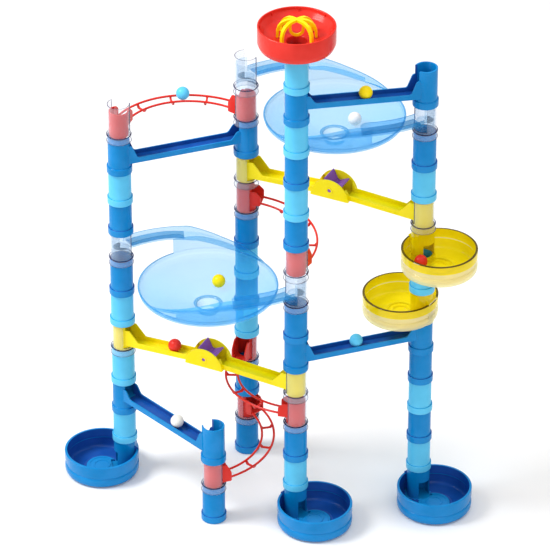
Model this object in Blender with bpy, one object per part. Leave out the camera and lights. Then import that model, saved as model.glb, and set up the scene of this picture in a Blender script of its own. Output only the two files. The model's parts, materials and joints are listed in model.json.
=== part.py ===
"""Marble run: five towers of push-fit tube modules, joined by chutes, bowls and rails.

Lengths are in metres and +Z is up. The towers are called left, back, front, right and short. A module
is one pitch high: a socket collar at its bottom takes the spigot of the module below. Levels count
modules up from the floor, so level 0 stands on it. Links run from a start tower to a finish tower and
are modelled along their own +X, with the start tower's axis and the level's bottom at their origin.
"""
import math

import bmesh
import bpy
from mathutils import Matrix, Vector

MM = 0.001
GAP = 0.3 * MM
MERGE = 0.002 * MM

# Layout of the towers
PITCH = 42.0 * MM
SHORT_LINK = 153.7 * MM
LONG_LINK = 1.5 * SHORT_LINK

# Tube modules
TUBE_R = 13.6 * MM
TUBE_BORE_R = 11.6 * MM
CLEAR_BORE_R = 12.4 * MM
COLLAR_R = 15.2 * MM
COLLAR_HEIGHT = 8.6 * MM
SOCKET_R = 13.9 * MM
SOCKET_DEPTH = 7.1 * MM
SPIGOT = SOCKET_DEPTH - GAP
TUBE_SIDES = 10
MODULE_TOP = PITCH + SPIGOT
ABOVE_ALL = 60.0 * MM
BELOW_ALL = -5.0 * MM

# C-shaped opening of the clear tubes
OPENING_ANGLE = math.radians(120)
OPENING_BOTTOM = 11.0 * MM

# Liner of a piece that ends inside a clear tube
LINER_R = 11.6 * MM
LINER_BORE_R = 10.6 * MM
LINER_BOTTOM = SOCKET_DEPTH + GAP
LINER_TOP = 39.5 * MM

# Troughs of the chutes
TROUGH_HALF_WIDTH = 10.0 * MM
CHANNEL_HALF_WIDTH = 8.4 * MM
TROUGH_DEPTH = 6.6 * MM
FLOOR = 1.6 * MM
CHUTE_START_Z = 20.7 * MM
CHUTE_FINISH_Z = 12.3 * MM
CHEEK_REACH = 20.0 * MM
CHEEK_TOP = 36.5 * MM
INTO_WALL = 7.0 * MM

# Yellow chute with its rocker housing
WHEEL_CHUTE_END_Z = 14.5 * MM
WHEEL_CHUTE_MIDDLE_Z = 20.0 * MM
WHEEL_CHEEK_REACH = 26.0 * MM
HOUSING_R = 24.4 * MM
HOUSING_CENTRE_Z = 17.6 * MM
HOUSING_HALF_WIDTH = 13.7 * MM
HOUSING_WALL = 1.3 * MM
HOUSING_FLOOR_TOP = 19.0 * MM
HOUSING_PIT_HALF_LENGTH = 19.5 * MM
CHEEK_STEPS = 9
ROCKER_Z = 28.0 * MM
ROCKER_HALF_WIDTH = 12.0 * MM
ROCKER_FIN = 16.5 * MM
ROCKER_ARM = 15.5 * MM
ROCKER_THICKNESS = 1.6 * MM
ROCKER_HUB_R = 3.0 * MM
ROCKER_TILT = math.radians(25)
PIN_R = 2.0 * MM
PIN_HALF_LENGTH = 13.5 * MM
PIN_HOLE_R = 2.3 * MM

# Bowls
BOWL_R = 82.7 * MM
BOWL_WALL = 1.8 * MM
OUTER_WALL = 1.4 * MM
DISH_INNER_R = 19.5 * MM
DISH_INNER_Z = -25.0 * MM
DISH_OUTER_R = 74.5 * MM
DISH_OUTER_Z = -8.7 * MM
BOWL_SIDES = 24
ARM_JOIN_AZIMUTH = math.radians(90)
STEP_AZIMUTH = math.radians(147)
RIM_TURN = math.radians(70)
ARM_HALF_WIDTH = 9.8 * MM
ARM_START = 0.06
ARM_END = 1.4
ARM_STEPS = 14
RIM_WALL_STEPS = 5
# heights and edges in mm at azimuths in degrees about the bowl's middle
ARM_FLOOR = ((150, 20.7), (125, 18.0), (96, 8.0), (64, -1.0))
ARM_OUTER_TOP = ((133, 27.3), (106, 15.8), (80, 6.8), (63, 0.6))
ARM_INNER_TOP = ((140, 27.3), (131, 19.0), (96, 8.0), (64, -1.0))
ARM_INNER_EDGE = ((130, -9.8), (96, -2.7), (64, 7.6))
ARM_CHANNEL_EDGE = ((140, -8.4), (131, -12.0))

# Rails
RAIL_BULGE = 43.7 * MM
RAIL_GAUGE = 14.4 * MM
ROD_R = 1.4 * MM
ROD_SIDES = 6
ROD_STEPS = 9
RAIL_START_Z = 22.2 * MM
RAIL_FINISH_Z = 16.1 * MM
FITTING_REACH = 19.5 * MM
FITTING_HALF_WIDTH = 9.8 * MM
FITTING_CHANNEL = 8.2 * MM
FITTING_CHEEK_END = 8.5 * MM
ROD_OVERLAP = 5.5 * MM
TIE_FRACTIONS = (0.27, 0.49, 0.71)
TIE_HALF_THICKNESS = 1.1 * MM

# Cups and funnel
CUP_R = 45.0 * MM
CUP_RIM_Z = 29.2 * MM
CUP_WALL = 2.0 * MM
CUP_FLOOR = 3.0 * MM
CUP_OFFSET = 28.7 * MM
CUP_SIDES = 16
CUP_DISC_R = 17.0 * MM
CUP_DISC_RISE = 0.8 * MM
POST_OPENING_TOP = 26.0 * MM
POST_OPENING_HALF_WIDTH = 8.6 * MM
SHOULDER_TOP = 38.0 * MM
SHOULDER_HALF_WIDTH = 9.0 * MM
SHOULDER_BOTTOM = 8.2 * MM

# Scrambler and marbles; the arch is half an outline of (distance, height) points
SCRAMBLER_ARCH = ((23.5, 0.0), (23.0, 9.0), (19.5, 17.5), (12.0, 23.0))
SCRAMBLER_BAND = 3.0 * MM
SCRAMBLER_HALF_WIDTH = 2.0 * MM
SCRAMBLER_ANGLES = (math.radians(26), math.radians(66), math.radians(166))
SCRAMBLER_FOOT_Z = 27.1 * MM
LOOP_R = 8.8 * MM
LOOP_END_Z = 1.0 * MM
MARBLE_R = 8.0 * MM
MARBLE_X = {"rail": 88 * MM, "yellow chute": 70 * MM, "upper chute": 82 * MM,
            "lower chute": 80 * MM, "left chute": 92 * MM}
CUP_MARBLE_R = 21.6 * MM
CUP_MARBLE_ANGLE = math.radians(209.5)

# Level of each piece
FUNNEL_LEVEL = 15
# name, tower, level, direction of the cup from its tower's axis
CUPS = (
    ("base_cup_left", "left", 0, math.radians(215.4)),
    ("base_cup_front", "front", 0, math.radians(-10.3)),
    ("base_cup_right", "right", 0, math.radians(-22.9)),
    ("yellow_cup_upper", "right", 8, math.radians(-23.0)),
    ("yellow_cup_lower", "right", 6, math.radians(176.0)),
)
CHUTES = (
    ("chute_back_to_left", "back", "left", 10),
    ("chute_front_to_right", "front", "right", 13),
    ("chute_right_to_front", "right", "front", 5),
    ("chute_left_to_short", "left", "short", 2),
)
WHEEL_CHUTES = (("left_front", "left", "front", 4), ("back_right", "back", "right", 9))
BOWLS = (("bowl_left_front", "left", "front", 7), ("bowl_back_right", "back", "right", 12))
RAILS = (
    ("rail_left_to_back", "left", "back", 11),
    ("rail_back_to_front", "back", "front", 8),
    ("rail_front_to_back", "front", "back", 3),
    ("rail_back_to_short", "back", "short", 1),
)
# tower, lowest level, number of modules joined in one node, colour
PLAIN_TUBES = (
    ("left", 9, 1, "light"), ("left", 8, 1, "dark"), ("left", 6, 1, "dark"),
    ("left", 5, 1, "light"), ("left", 3, 1, "light"), ("left", 1, 1, "light"),
    ("back", 4, 4, "light"), ("back", 2, 1, "dark"), ("back", 0, 1, "dark"),
    ("front", 14, 1, "light"), ("front", 9, 4, "dark"), ("front", 6, 1, "dark"),
    ("front", 2, 1, "dark"), ("front", 1, 1, "light"),
    ("right", 11, 1, "dark"), ("right", 10, 1, "light"), ("right", 7, 1, "light"),
    ("right", 1, 4, "light"), ("short", 0, 1, "dark"),
)

COLOURS = {
    "dark": (0.0, 0.22, 0.60), "light": (0.16, 0.58, 0.91), "clear": (0.90, 0.94, 0.97),
    "red": (0.68, 0.013, 0.010), "yellow": (0.95, 0.74, 0.0), "purple": (0.30, 0.09, 0.38),
    "bowl": (0.42, 0.68, 0.88), "clear_yellow": (0.91, 0.86, 0.05), "white": (0.79, 0.78, 0.75),
}
SEE_THROUGH = ("clear", "bowl", "clear_yellow")


# ---------------------------------------------------------------- layout

def tower_axes():
    """Plan positions of the tower axes, before the whole run is centred."""
    back = Vector((0.75, math.sqrt(1 - 0.75 ** 2))) * SHORT_LINK
    towards_short = math.atan2(back.y, back.x) - math.radians(60)
    return {
        "left": Vector((0, 0)),
        "back": back,
        "front": Vector((LONG_LINK, 0)),
        "right": Vector((LONG_LINK, 0)) + back,
        "short": SHORT_LINK * Vector((math.cos(towards_short), math.sin(towards_short))),
    }


def cup_centre(tower, angle):
    return tower + CUP_OFFSET * Vector((math.cos(angle), math.sin(angle)))


def centred_axes():
    """Tower axes in the part's frame, whose origin is under the middle of its bounding box."""
    axes = tower_axes()
    cup_x = [cup_centre(axes[tower], angle).x for _, tower, _, angle in CUPS]
    left = min(cup_x) - CUP_R
    right = max(cup_x) + CUP_R
    front = (axes["left"].y + axes["front"].y) / 2 - BOWL_R
    back = (axes["back"].y + axes["right"].y) / 2 + BOWL_R
    middle = Vector(((left + right) / 2, (front + back) / 2))
    return {name: axis - middle for name, axis in axes.items()}


AXES = centred_axes()


def link_angle(start, finish):
    run = AXES[finish] - AXES[start]
    return math.atan2(run.y, run.x)


# ---------------------------------------------------------------- solids

def new_object(name, bm):
    bmesh.ops.recalc_face_normals(bm, faces=bm.faces)
    mesh = bpy.data.meshes.new(name)
    bm.to_mesh(mesh)
    bm.free()
    obj = bpy.data.objects.new(name, mesh)
    bpy.context.collection.objects.link(obj)
    return obj


def turned(profile, sides, phase=0.0):
    """Solid of revolution of a closed (radius, height) profile; radius 0 lies on the axis."""
    bm = bmesh.new()
    angles = [phase + 2 * math.pi * i / sides for i in range(sides)]
    rings = []
    for radius, height in profile:
        if radius == 0:
            rings.append([bm.verts.new((0, 0, height))])
        else:
            circle = [(radius * math.cos(a), radius * math.sin(a), height) for a in angles]
            rings.append([bm.verts.new(corner) for corner in circle])
    for ring, following in zip(rings, rings[1:] + rings[:1]):
        if len(ring) == 1 and len(following) == 1:
            continue
        for i in range(sides):
            j = i + 1
            corners = [ring[i % len(ring)], ring[j % len(ring)],
                       following[j % len(following)], following[i % len(following)]]
            bm.faces.new(list(dict.fromkeys(corners)))
    return new_object("turned", bm)


def cylinder(radius, bottom, top, sides=TUBE_SIDES, phase=0.0):
    return turned([(0, bottom), (radius, bottom), (radius, top), (0, top)], sides, phase)


def side_prism(outline, half_width):
    """Outline of (x, z) points extruded along Y, to both sides."""
    bm = bmesh.new()
    near = [bm.verts.new((x, -half_width, z)) for x, z in outline]
    far = [bm.verts.new((x, half_width, z)) for x, z in outline]
    bm.faces.new(near)
    bm.faces.new(far)
    for i in range(len(outline)):
        j = (i + 1) % len(outline)
        bm.faces.new((near[i], near[j], far[j], far[i]))
    return new_object("prism", bm)


def plan_prism(outline, bottom, top):
    """Outline of (x, y) points extruded upwards."""
    bm = bmesh.new()
    low = [bm.verts.new((x, y, bottom)) for x, y in outline]
    high = [bm.verts.new((x, y, top)) for x, y in outline]
    bm.faces.new(low)
    bm.faces.new(high)
    for i in range(len(outline)):
        j = (i + 1) % len(outline)
        bm.faces.new((low[i], low[j], high[j], high[i]))
    return new_object("prism", bm)


def swept(path, sections):
    """Solid along a path; each section is a ring of (left, up) offsets from its path point."""
    bm = bmesh.new()
    rings = []
    last = len(path) - 1
    for i, (point, section) in enumerate(zip(path, sections)):
        ahead = path[min(i + 1, last)] - path[max(i - 1, 0)]
        left = Vector((-ahead.y, ahead.x, 0)).normalized()
        rings.append([bm.verts.new(point + left * s + Vector((0, 0, u))) for s, u in section])
    for ring, following in zip(rings, rings[1:]):
        for i in range(len(ring)):
            j = (i + 1) % len(ring)
            bm.faces.new((ring[i], ring[j], following[j], following[i]))
    bm.faces.new(rings[0])
    bm.faces.new(rings[-1])
    return new_object("sweep", bm)


def moved(obj, matrix):
    obj.data.transform(matrix)
    return obj


def combine(body, tools, operation):
    """Adds tools to a body or cuts them away, all in one step, and uses the tools up."""
    group = bpy.data.collections.new("tools")
    for tool in tools:
        group.objects.link(tool)
    modifier = body.modifiers.new("combine", "BOOLEAN")
    modifier.operation = operation
    modifier.operand_type = "COLLECTION"
    modifier.collection = group
    graph = bpy.context.evaluated_depsgraph_get()
    mesh = bpy.data.meshes.new_from_object(body.evaluated_get(graph))
    body.modifiers.remove(modifier)
    body.data = mesh
    bm = bmesh.new()
    bm.from_mesh(mesh)
    bmesh.ops.remove_doubles(bm, verts=bm.verts, dist=MERGE)
    bmesh.ops.dissolve_degenerate(bm, edges=bm.edges, dist=MERGE)
    bm.to_mesh(mesh)
    bm.free()
    for tool in tools:
        bpy.data.objects.remove(tool)
    bpy.data.collections.remove(group)
    return body


def add(body, *tools):
    return combine(body, tools, "UNION")


def cut(body, *tools):
    return combine(body, tools, "DIFFERENCE")


# ---------------------------------------------------------------- materials and nodes

def material(colour):
    name = colour + "_plastic"
    if name in bpy.data.materials:
        return bpy.data.materials[name]
    made = bpy.data.materials.new(name)
    made.use_nodes = True
    shader = made.node_tree.nodes["Principled BSDF"]
    shader.inputs["Base Color"].default_value = (*COLOURS[colour], 1.0)
    shader.inputs["Roughness"].default_value = 0.25
    shader.inputs["Metallic"].default_value = 0.0
    if colour in SEE_THROUGH:
        shader.inputs["Transmission Weight"].default_value = 0.9
    return made


def finish_mesh(obj, colour):
    """Shades a finished shape smooth but for its edges, gives it its material and takes its mesh."""
    mesh = obj.data
    mesh.shade_smooth()
    mesh.set_sharp_from_angle(angle=math.radians(35))
    mesh.materials.clear()
    mesh.materials.append(material(colour))
    bpy.data.objects.remove(obj)
    return mesh


def place(name, mesh, position, angle=0.0):
    """One node: a mesh stood at a position and turned about the vertical."""
    mesh.name = name
    obj = bpy.data.objects.new(name, mesh)
    bpy.context.collection.objects.link(obj)
    obj.location = position
    obj.rotation_euler = (0, 0, angle)
    return obj


def at(tower, level):
    axis = AXES[tower]
    return Vector((axis.x, axis.y, level * PITCH))


# ---------------------------------------------------------------- tube modules

def tube_profile(levels, bore_r):
    """Closed profile of one or more joined tube modules, with a collar at each level."""
    top = (levels - 1) * PITCH + MODULE_TOP
    profile = [(bore_r, SOCKET_DEPTH), (SOCKET_R, SOCKET_DEPTH), (SOCKET_R, 0), (COLLAR_R, 0)]
    for level in range(levels):
        bottom = level * PITCH
        if level > 0:
            profile += [(TUBE_R, bottom), (COLLAR_R, bottom)]
        profile += [(COLLAR_R, bottom + COLLAR_HEIGHT), (TUBE_R, bottom + COLLAR_HEIGHT)]
    return profile + [(TUBE_R, top), (bore_r, top)]


def plain_tube(levels):
    return turned(tube_profile(levels, TUBE_BORE_R), TUBE_SIDES)


def opening_wedge(direction, bottom, top):
    """Cutter of a clear tube's C-shaped opening."""
    reach = 2 * COLLAR_R
    edges = (direction - OPENING_ANGLE / 2, direction, direction + OPENING_ANGLE / 2)
    outline = [(0, 0)] + [(reach * math.cos(a), reach * math.sin(a)) for a in edges]
    return plan_prism(outline, bottom, top)


def clear_tube(directions):
    """Clear modules, lowest first, each open on one side in the given direction."""
    levels = len(directions)
    wedges = []
    for level, direction in enumerate(directions):
        bottom = level * PITCH
        height = ABOVE_ALL if level == levels - 1 else PITCH - GAP
        wedges.append(opening_wedge(direction, bottom + OPENING_BOTTOM, bottom + height))
    return cut(turned(tube_profile(levels, CLEAR_BORE_R), TUBE_SIDES), *wedges)


# ---------------------------------------------------------------- posts and channels of the links

def post(centre_x, phase):
    """Solid outside of a tube module, before it is bored."""
    outline = [(0, 0), (COLLAR_R, 0), (COLLAR_R, COLLAR_HEIGHT), (TUBE_R, COLLAR_HEIGHT),
               (TUBE_R, MODULE_TOP), (0, MODULE_TOP)]
    return moved(turned(outline, TUBE_SIDES, phase), Matrix.Translation((centre_x, 0, 0)))


def post_bore(centre_x, phase, bottom=BELOW_ALL, top=ABOVE_ALL):
    """Cutter for a module's socket and bore between two heights."""
    if bottom < 0:
        outline = [(0, bottom), (SOCKET_R, bottom), (SOCKET_R, SOCKET_DEPTH),
                   (TUBE_BORE_R, SOCKET_DEPTH), (TUBE_BORE_R, top), (0, top)]
    else:
        outline = [(0, bottom), (TUBE_BORE_R, bottom), (TUBE_BORE_R, top), (0, top)]
    return moved(turned(outline, TUBE_SIDES, phase), Matrix.Translation((centre_x, 0, 0)))


def liner(centre_x):
    outer = cylinder(LINER_R, LINER_BOTTOM, LINER_TOP)
    return moved(outer, Matrix.Translation((centre_x, 0, 0)))


def liner_bore(centre_x, bottom=BELOW_ALL, top=ABOVE_ALL):
    return moved(cylinder(LINER_BORE_R, bottom, top), Matrix.Translation((centre_x, 0, 0)))


# ---------------------------------------------------------------- dark blue chute

def chute_bottom(x):
    return CHUTE_START_Z + (CHUTE_FINISH_Z - CHUTE_START_Z) * x / SHORT_LINK


def chute(angle):
    """Two tube modules and the sloping trough between them, in one piece.

    The modules' sides are turned back by the link's angle, so they line up with the rest of the tower."""
    length = SHORT_LINK
    phase = -angle
    near, far = INTO_WALL, length - INTO_WALL
    outline = [
        (near, chute_bottom(near)), (far, chute_bottom(far)),
        (far, CHEEK_TOP), (length - TUBE_R + GAP, CHEEK_TOP),
        (length - CHEEK_REACH, chute_bottom(length - CHEEK_REACH) + TROUGH_DEPTH),
        (CHEEK_REACH, chute_bottom(CHEEK_REACH) + TROUGH_DEPTH),
        (TUBE_R - GAP, CHEEK_TOP), (near, CHEEK_TOP),
    ]
    floor_in_post = chute_bottom(TUBE_BORE_R) + FLOOR
    channel = [(0, floor_in_post), (TUBE_BORE_R, floor_in_post), (length, chute_bottom(length) + FLOOR),
               (length, ABOVE_ALL), (0, ABOVE_ALL)]
    body = add(post(0, phase), post(length, phase), side_prism(outline, TROUGH_HALF_WIDTH))
    return cut(
        body,
        post_bore(0, phase, top=floor_in_post - FLOOR),
        post_bore(0, phase, bottom=floor_in_post),
        post_bore(length, phase),
        side_prism(channel, CHANNEL_HALF_WIDTH),
    )


# ---------------------------------------------------------------- yellow chute and rocker

def wheel_chute_bottom(x):
    """Underside of the yellow trough, highest in the middle."""
    half = LONG_LINK / 2
    rise = 1 - abs(x - half) / half
    return WHEEL_CHUTE_END_Z + (WHEEL_CHUTE_MIDDLE_Z - WHEEL_CHUTE_END_Z) * rise


def wheel_chute():
    """Trough with a liner at each end and a round-cheeked rocker housing half way."""
    length = LONG_LINK
    half = length / 2
    inside = LINER_R / 2 - GAP

    def end_outline(sign):
        """Half of the trough from one end's liner to the middle."""
        points = [(inside, wheel_chute_bottom(inside)), (half, wheel_chute_bottom(half)),
                  (half, wheel_chute_bottom(half) + TROUGH_DEPTH),
                  (WHEEL_CHEEK_REACH, wheel_chute_bottom(WHEEL_CHEEK_REACH) + TROUGH_DEPTH),
                  (TUBE_R - GAP, CHEEK_TOP), (inside, CHEEK_TOP)]
        return [(half + sign * (x - half), z) for x, z in points]

    low = math.asin((HOUSING_FLOOR_TOP - FLOOR - HOUSING_CENTRE_Z) / HOUSING_R)
    arc = [low + (math.pi - 2 * low) * i / CHEEK_STEPS for i in range(CHEEK_STEPS + 1)]
    cheek = [(half + HOUSING_R * math.cos(a), HOUSING_CENTRE_Z + HOUSING_R * math.sin(a)) for a in arc]
    pit_start = half - HOUSING_PIT_HALF_LENGTH
    pit_end = half + HOUSING_PIT_HALF_LENGTH
    pit = [(pit_start, HOUSING_FLOOR_TOP), (pit_end, HOUSING_FLOOR_TOP),
           (pit_end, ABOVE_ALL), (pit_start, ABOVE_ALL)]
    channel = [(0, wheel_chute_bottom(0) + FLOOR), (half, wheel_chute_bottom(half) + FLOOR),
               (length, wheel_chute_bottom(length) + FLOOR), (length, ABOVE_ALL), (0, ABOVE_ALL)]
    pin_hole = cylinder(PIN_HOLE_R, -TUBE_R - PITCH, TUBE_R + PITCH)
    sideways = Matrix.Rotation(math.pi / 2, 4, "X")
    pin_hole = moved(pin_hole, Matrix.Translation((half, 0, ROCKER_Z)) @ sideways)
    body = add(
        liner(0), liner(length),
        side_prism(end_outline(1), TROUGH_HALF_WIDTH),
        side_prism(end_outline(-1), TROUGH_HALF_WIDTH),
        side_prism(cheek, HOUSING_HALF_WIDTH),
    )
    return cut(
        body,
        liner_bore(0), liner_bore(length),
        side_prism(channel, CHANNEL_HALF_WIDTH),
        side_prism(pit, HOUSING_HALF_WIDTH - HOUSING_WALL),
        pin_hole,
    )


def rocker():
    """T-shaped flip-flop about its pin's axis, upright; the pin lies along Y."""
    half = ROCKER_THICKNESS / 2
    outline = [
        (-ROCKER_ARM, -half), (ROCKER_ARM, -half), (ROCKER_ARM, half), (half, half),
        (half, ROCKER_FIN), (-half, ROCKER_FIN), (-half, half), (-ROCKER_ARM, half),
    ]
    hub = cylinder(ROCKER_HUB_R, GAP - ROCKER_HALF_WIDTH, ROCKER_HALF_WIDTH - GAP)
    pin = cylinder(PIN_R, -PIN_HALF_LENGTH, PIN_HALF_LENGTH)
    sideways = Matrix.Rotation(math.pi / 2, 4, "X")
    return add(side_prism(outline, ROCKER_HALF_WIDTH), moved(hub, sideways), moved(pin, sideways))


# ---------------------------------------------------------------- bowl

def arm_path(first, last, steps):
    """Points of the arm's centre line: its arc from the tower (0) to the join (1), then round the rim."""
    inner_r = BOWL_R - TROUGH_HALF_WIDTH
    half = LONG_LINK / 2
    shift = (half ** 2 - inner_r ** 2) / (2 * (inner_r + half * math.cos(ARM_JOIN_AZIMUTH)))
    centre = Vector((half - shift * math.cos(ARM_JOIN_AZIMUTH), -shift * math.sin(ARM_JOIN_AZIMUTH), 0))
    radius = shift + inner_r
    start = math.atan2(-centre.y, -centre.x)
    points = []
    for i in range(steps + 1):
        fraction = first + (last - first) * i / steps
        if fraction <= 1:
            angle = start + (ARM_JOIN_AZIMUTH - start) * fraction
            points.append(centre + radius * Vector((math.cos(angle), math.sin(angle), 0)))
        else:
            angle = ARM_JOIN_AZIMUTH - (fraction - 1) * RIM_TURN
            points.append(Vector((half + inner_r * math.cos(angle), inner_r * math.sin(angle), 0)))
    return points


def arm_heading():
    """Direction in which the arm leaves its tower, from the link's own +X."""
    first, second = arm_path(0, 0.02, 1)
    return math.atan2(second.y - first.y, second.x - first.x)


def azimuth_about_bowl(point):
    """Azimuth about the bowl's middle in degrees, from 180 at the tower down to the end of the wall."""
    return math.degrees(math.atan2(point.y, point.x - LONG_LINK / 2))


def along(knots, azimuth):
    """Value at an azimuth, straight between (azimuth, value) knots and level beyond them."""
    if azimuth >= knots[0][0]:
        return knots[0][1]
    for (high, before), (low, after) in zip(knots, knots[1:]):
        if azimuth >= low:
            return after + (before - after) * (azimuth - low) / (high - low)
    return knots[-1][1]


def arm_solid():
    """Arm and its run down round the rim, before the channel is cut."""
    path = arm_path(ARM_START, ARM_END, ARM_STEPS)
    sections = []
    for point in path:
        azimuth = azimuth_about_bowl(point)
        floor = along(ARM_FLOOR, azimuth) * MM
        inner = along(ARM_INNER_EDGE, azimuth) * MM
        inner_top = max(along(ARM_INNER_TOP, azimuth) * MM, floor + FLOOR / 2)
        sections.append([(inner, floor), (ARM_HALF_WIDTH, floor),
                         (ARM_HALF_WIDTH, along(ARM_OUTER_TOP, azimuth) * MM), (inner, inner_top)])
    return swept(path, sections)


def arm_channel():
    path = arm_path(0, ARM_END + 0.02, ARM_STEPS)
    sections = []
    for point in path:
        azimuth = azimuth_about_bowl(point)
        floor = along(ARM_FLOOR, azimuth) * MM + FLOOR
        inner = along(ARM_CHANNEL_EDGE, azimuth) * MM
        sections.append([(inner, floor), (CHANNEL_HALF_WIDTH, floor),
                         (CHANNEL_HALF_WIDTH, ABOVE_ALL), (inner, ABOVE_ALL)])
    return swept(path, sections)


def outer_wall():
    """Wall on the bowl's rim that carries the arm, from where the arm crosses the rim to the join."""
    half = LONG_LINK / 2
    radius = BOWL_R - BOWL_WALL / 2
    path = []
    sections = []
    for i in range(RIM_WALL_STEPS + 1):
        azimuth = STEP_AZIMUTH + (ARM_JOIN_AZIMUTH - STEP_AZIMUTH) * i / RIM_WALL_STEPS
        path.append(Vector((half + radius * math.cos(azimuth), radius * math.sin(azimuth), 0)))
        top = along(ARM_FLOOR, math.degrees(azimuth)) * MM + FLOOR / 2
        sections.append([(-OUTER_WALL / 2, -BOWL_WALL), (OUTER_WALL / 2, -BOWL_WALL),
                         (OUTER_WALL / 2, top), (-OUTER_WALL / 2, top)])
    return swept(path, sections)


def dish():
    """Conical dish with a low rim and a spout in the middle."""
    t = BOWL_WALL
    under = [(BOWL_R, 0), (BOWL_R - 0.4 * MM, -6.5 * MM), (75 * MM, -10.5 * MM), (20 * MM, -27 * MM),
             (14 * MM, -30 * MM), (11.5 * MM, -37 * MM)]
    over = [(11.5 * MM - t, -37 * MM), (13.5 * MM - t, -29 * MM), (DISH_INNER_R, DISH_INNER_Z),
            (DISH_OUTER_R, DISH_OUTER_Z), (BOWL_R - t, -5.5 * MM), (BOWL_R - t, 0)]
    return moved(turned(under + over, BOWL_SIDES), Matrix.Translation((LONG_LINK / 2, 0, 0)))


def bowl():
    """Bowl with two tangential arms; a half turn about its spout maps it on itself."""
    middle = Matrix.Translation((LONG_LINK / 2, 0, 0))
    half_turn = middle @ Matrix.Rotation(math.pi, 4, "Z") @ middle.inverted()
    solids = []
    cutters = []
    for turn in (Matrix.Identity(4), half_turn):
        solids += [moved(made, turn) for made in (outer_wall(), arm_solid(), liner(0))]
        below = liner_bore(0, top=ARM_FLOOR[0][1] * MM - GAP)
        above = liner_bore(0, bottom=ARM_FLOOR[0][1] * MM + FLOOR)
        cutters += [moved(made, turn) for made in (arm_channel(), below, above)]
    return cut(add(dish(), *solids), *cutters)


# ---------------------------------------------------------------- rail

def rail_radius():
    return (SHORT_LINK ** 2 / 4 + RAIL_BULGE ** 2) / (2 * RAIL_BULGE)


def rail_half_angle():
    return math.asin(SHORT_LINK / 2 / rail_radius())


def fitting_turn():
    """Angle from the chord at which a fitting leaves its tower, aimed at where the rods enter it."""
    return rail_half_angle() - (FITTING_REACH - ROD_OVERLAP / 2) / (2 * rail_radius())


def rail_point(angle, offset=0.0):
    """Point of the rail's arc, in its gently tilted plane; angle 0 is half way."""
    radius = rail_radius()
    x = SHORT_LINK / 2 + (radius + offset) * math.sin(angle)
    y = RAIL_BULGE - radius + (radius + offset) * math.cos(angle)
    z = RAIL_START_Z + (RAIL_FINISH_Z - RAIL_START_Z) * x / SHORT_LINK
    return Vector((x, y, z))


def rod(offset):
    overlap = (FITTING_REACH - ROD_OVERLAP) / rail_radius()
    reach = rail_half_angle() - overlap
    corners = [math.pi * (2 * i + 1) / ROD_SIDES for i in range(ROD_SIDES)]
    section = [(ROD_R * math.cos(a), ROD_R * math.sin(a)) for a in corners]
    path = [rail_point(-reach + 2 * reach * i / ROD_STEPS, offset) for i in range(ROD_STEPS + 1)]
    return swept(path, [section] * len(path))


def tie(fraction):
    """U-shaped cross tie that dips under the marble's path."""
    outline = [(-8.9, 0.5), (-6.2, -5.3), (6.2, -5.3), (8.9, 0.5),
               (5.9, -0.5), (4.0, -3.5), (-4.0, -3.5), (-5.9, -0.5)]
    angle = rail_half_angle() * (2 * fraction - 1)
    bar = side_prism([(x * MM, z * MM) for x, z in outline], TIE_HALF_THICKNESS)
    turn = Matrix.Rotation(math.pi / 2 - angle, 4, "Z")
    return moved(bar, Matrix.Translation(rail_point(angle)) @ turn)


def fitting(height, blocked):
    """Rail end: a liner with a short cheeked trough; a start also has a floor across its bore."""
    inside = LINER_R / 2 - GAP
    bottom = height - ROD_R - 2.2 * MM
    floor_top = height - ROD_R + 0.2 * MM
    outline = [(inside, bottom), (FITTING_REACH, bottom), (FITTING_REACH, height + FITTING_CHEEK_END),
               (TUBE_R - GAP, CHEEK_TOP), (inside, CHEEK_TOP)]
    past_end = 2 * FITTING_REACH
    channel = [(0, floor_top), (past_end, floor_top), (past_end, ABOVE_ALL), (0, ABOVE_ALL)]
    body = add(liner(0), side_prism(outline, FITTING_HALF_WIDTH))
    bores = [liner_bore(0, top=bottom), liner_bore(0, bottom=floor_top)] if blocked else [liner_bore(0)]
    return cut(body, side_prism(channel, FITTING_CHANNEL), *bores)


def rail():
    """Two round rods on an arc, tied together, with a fitting in the clear tube at each end."""
    start = moved(fitting(RAIL_START_Z, True), Matrix.Rotation(fitting_turn(), 4, "Z"))
    backwards = Matrix.Rotation(math.pi - fitting_turn(), 4, "Z")
    finish = moved(fitting(RAIL_FINISH_Z, False), Matrix.Translation((SHORT_LINK, 0, 0)) @ backwards)
    body = rod(RAIL_GAUGE / 2)
    return add(body, start, finish, rod(-RAIL_GAUGE / 2), *[tie(f) for f in TIE_FRACTIONS])


# ---------------------------------------------------------------- cups, funnel, scrambler, marbles

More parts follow.
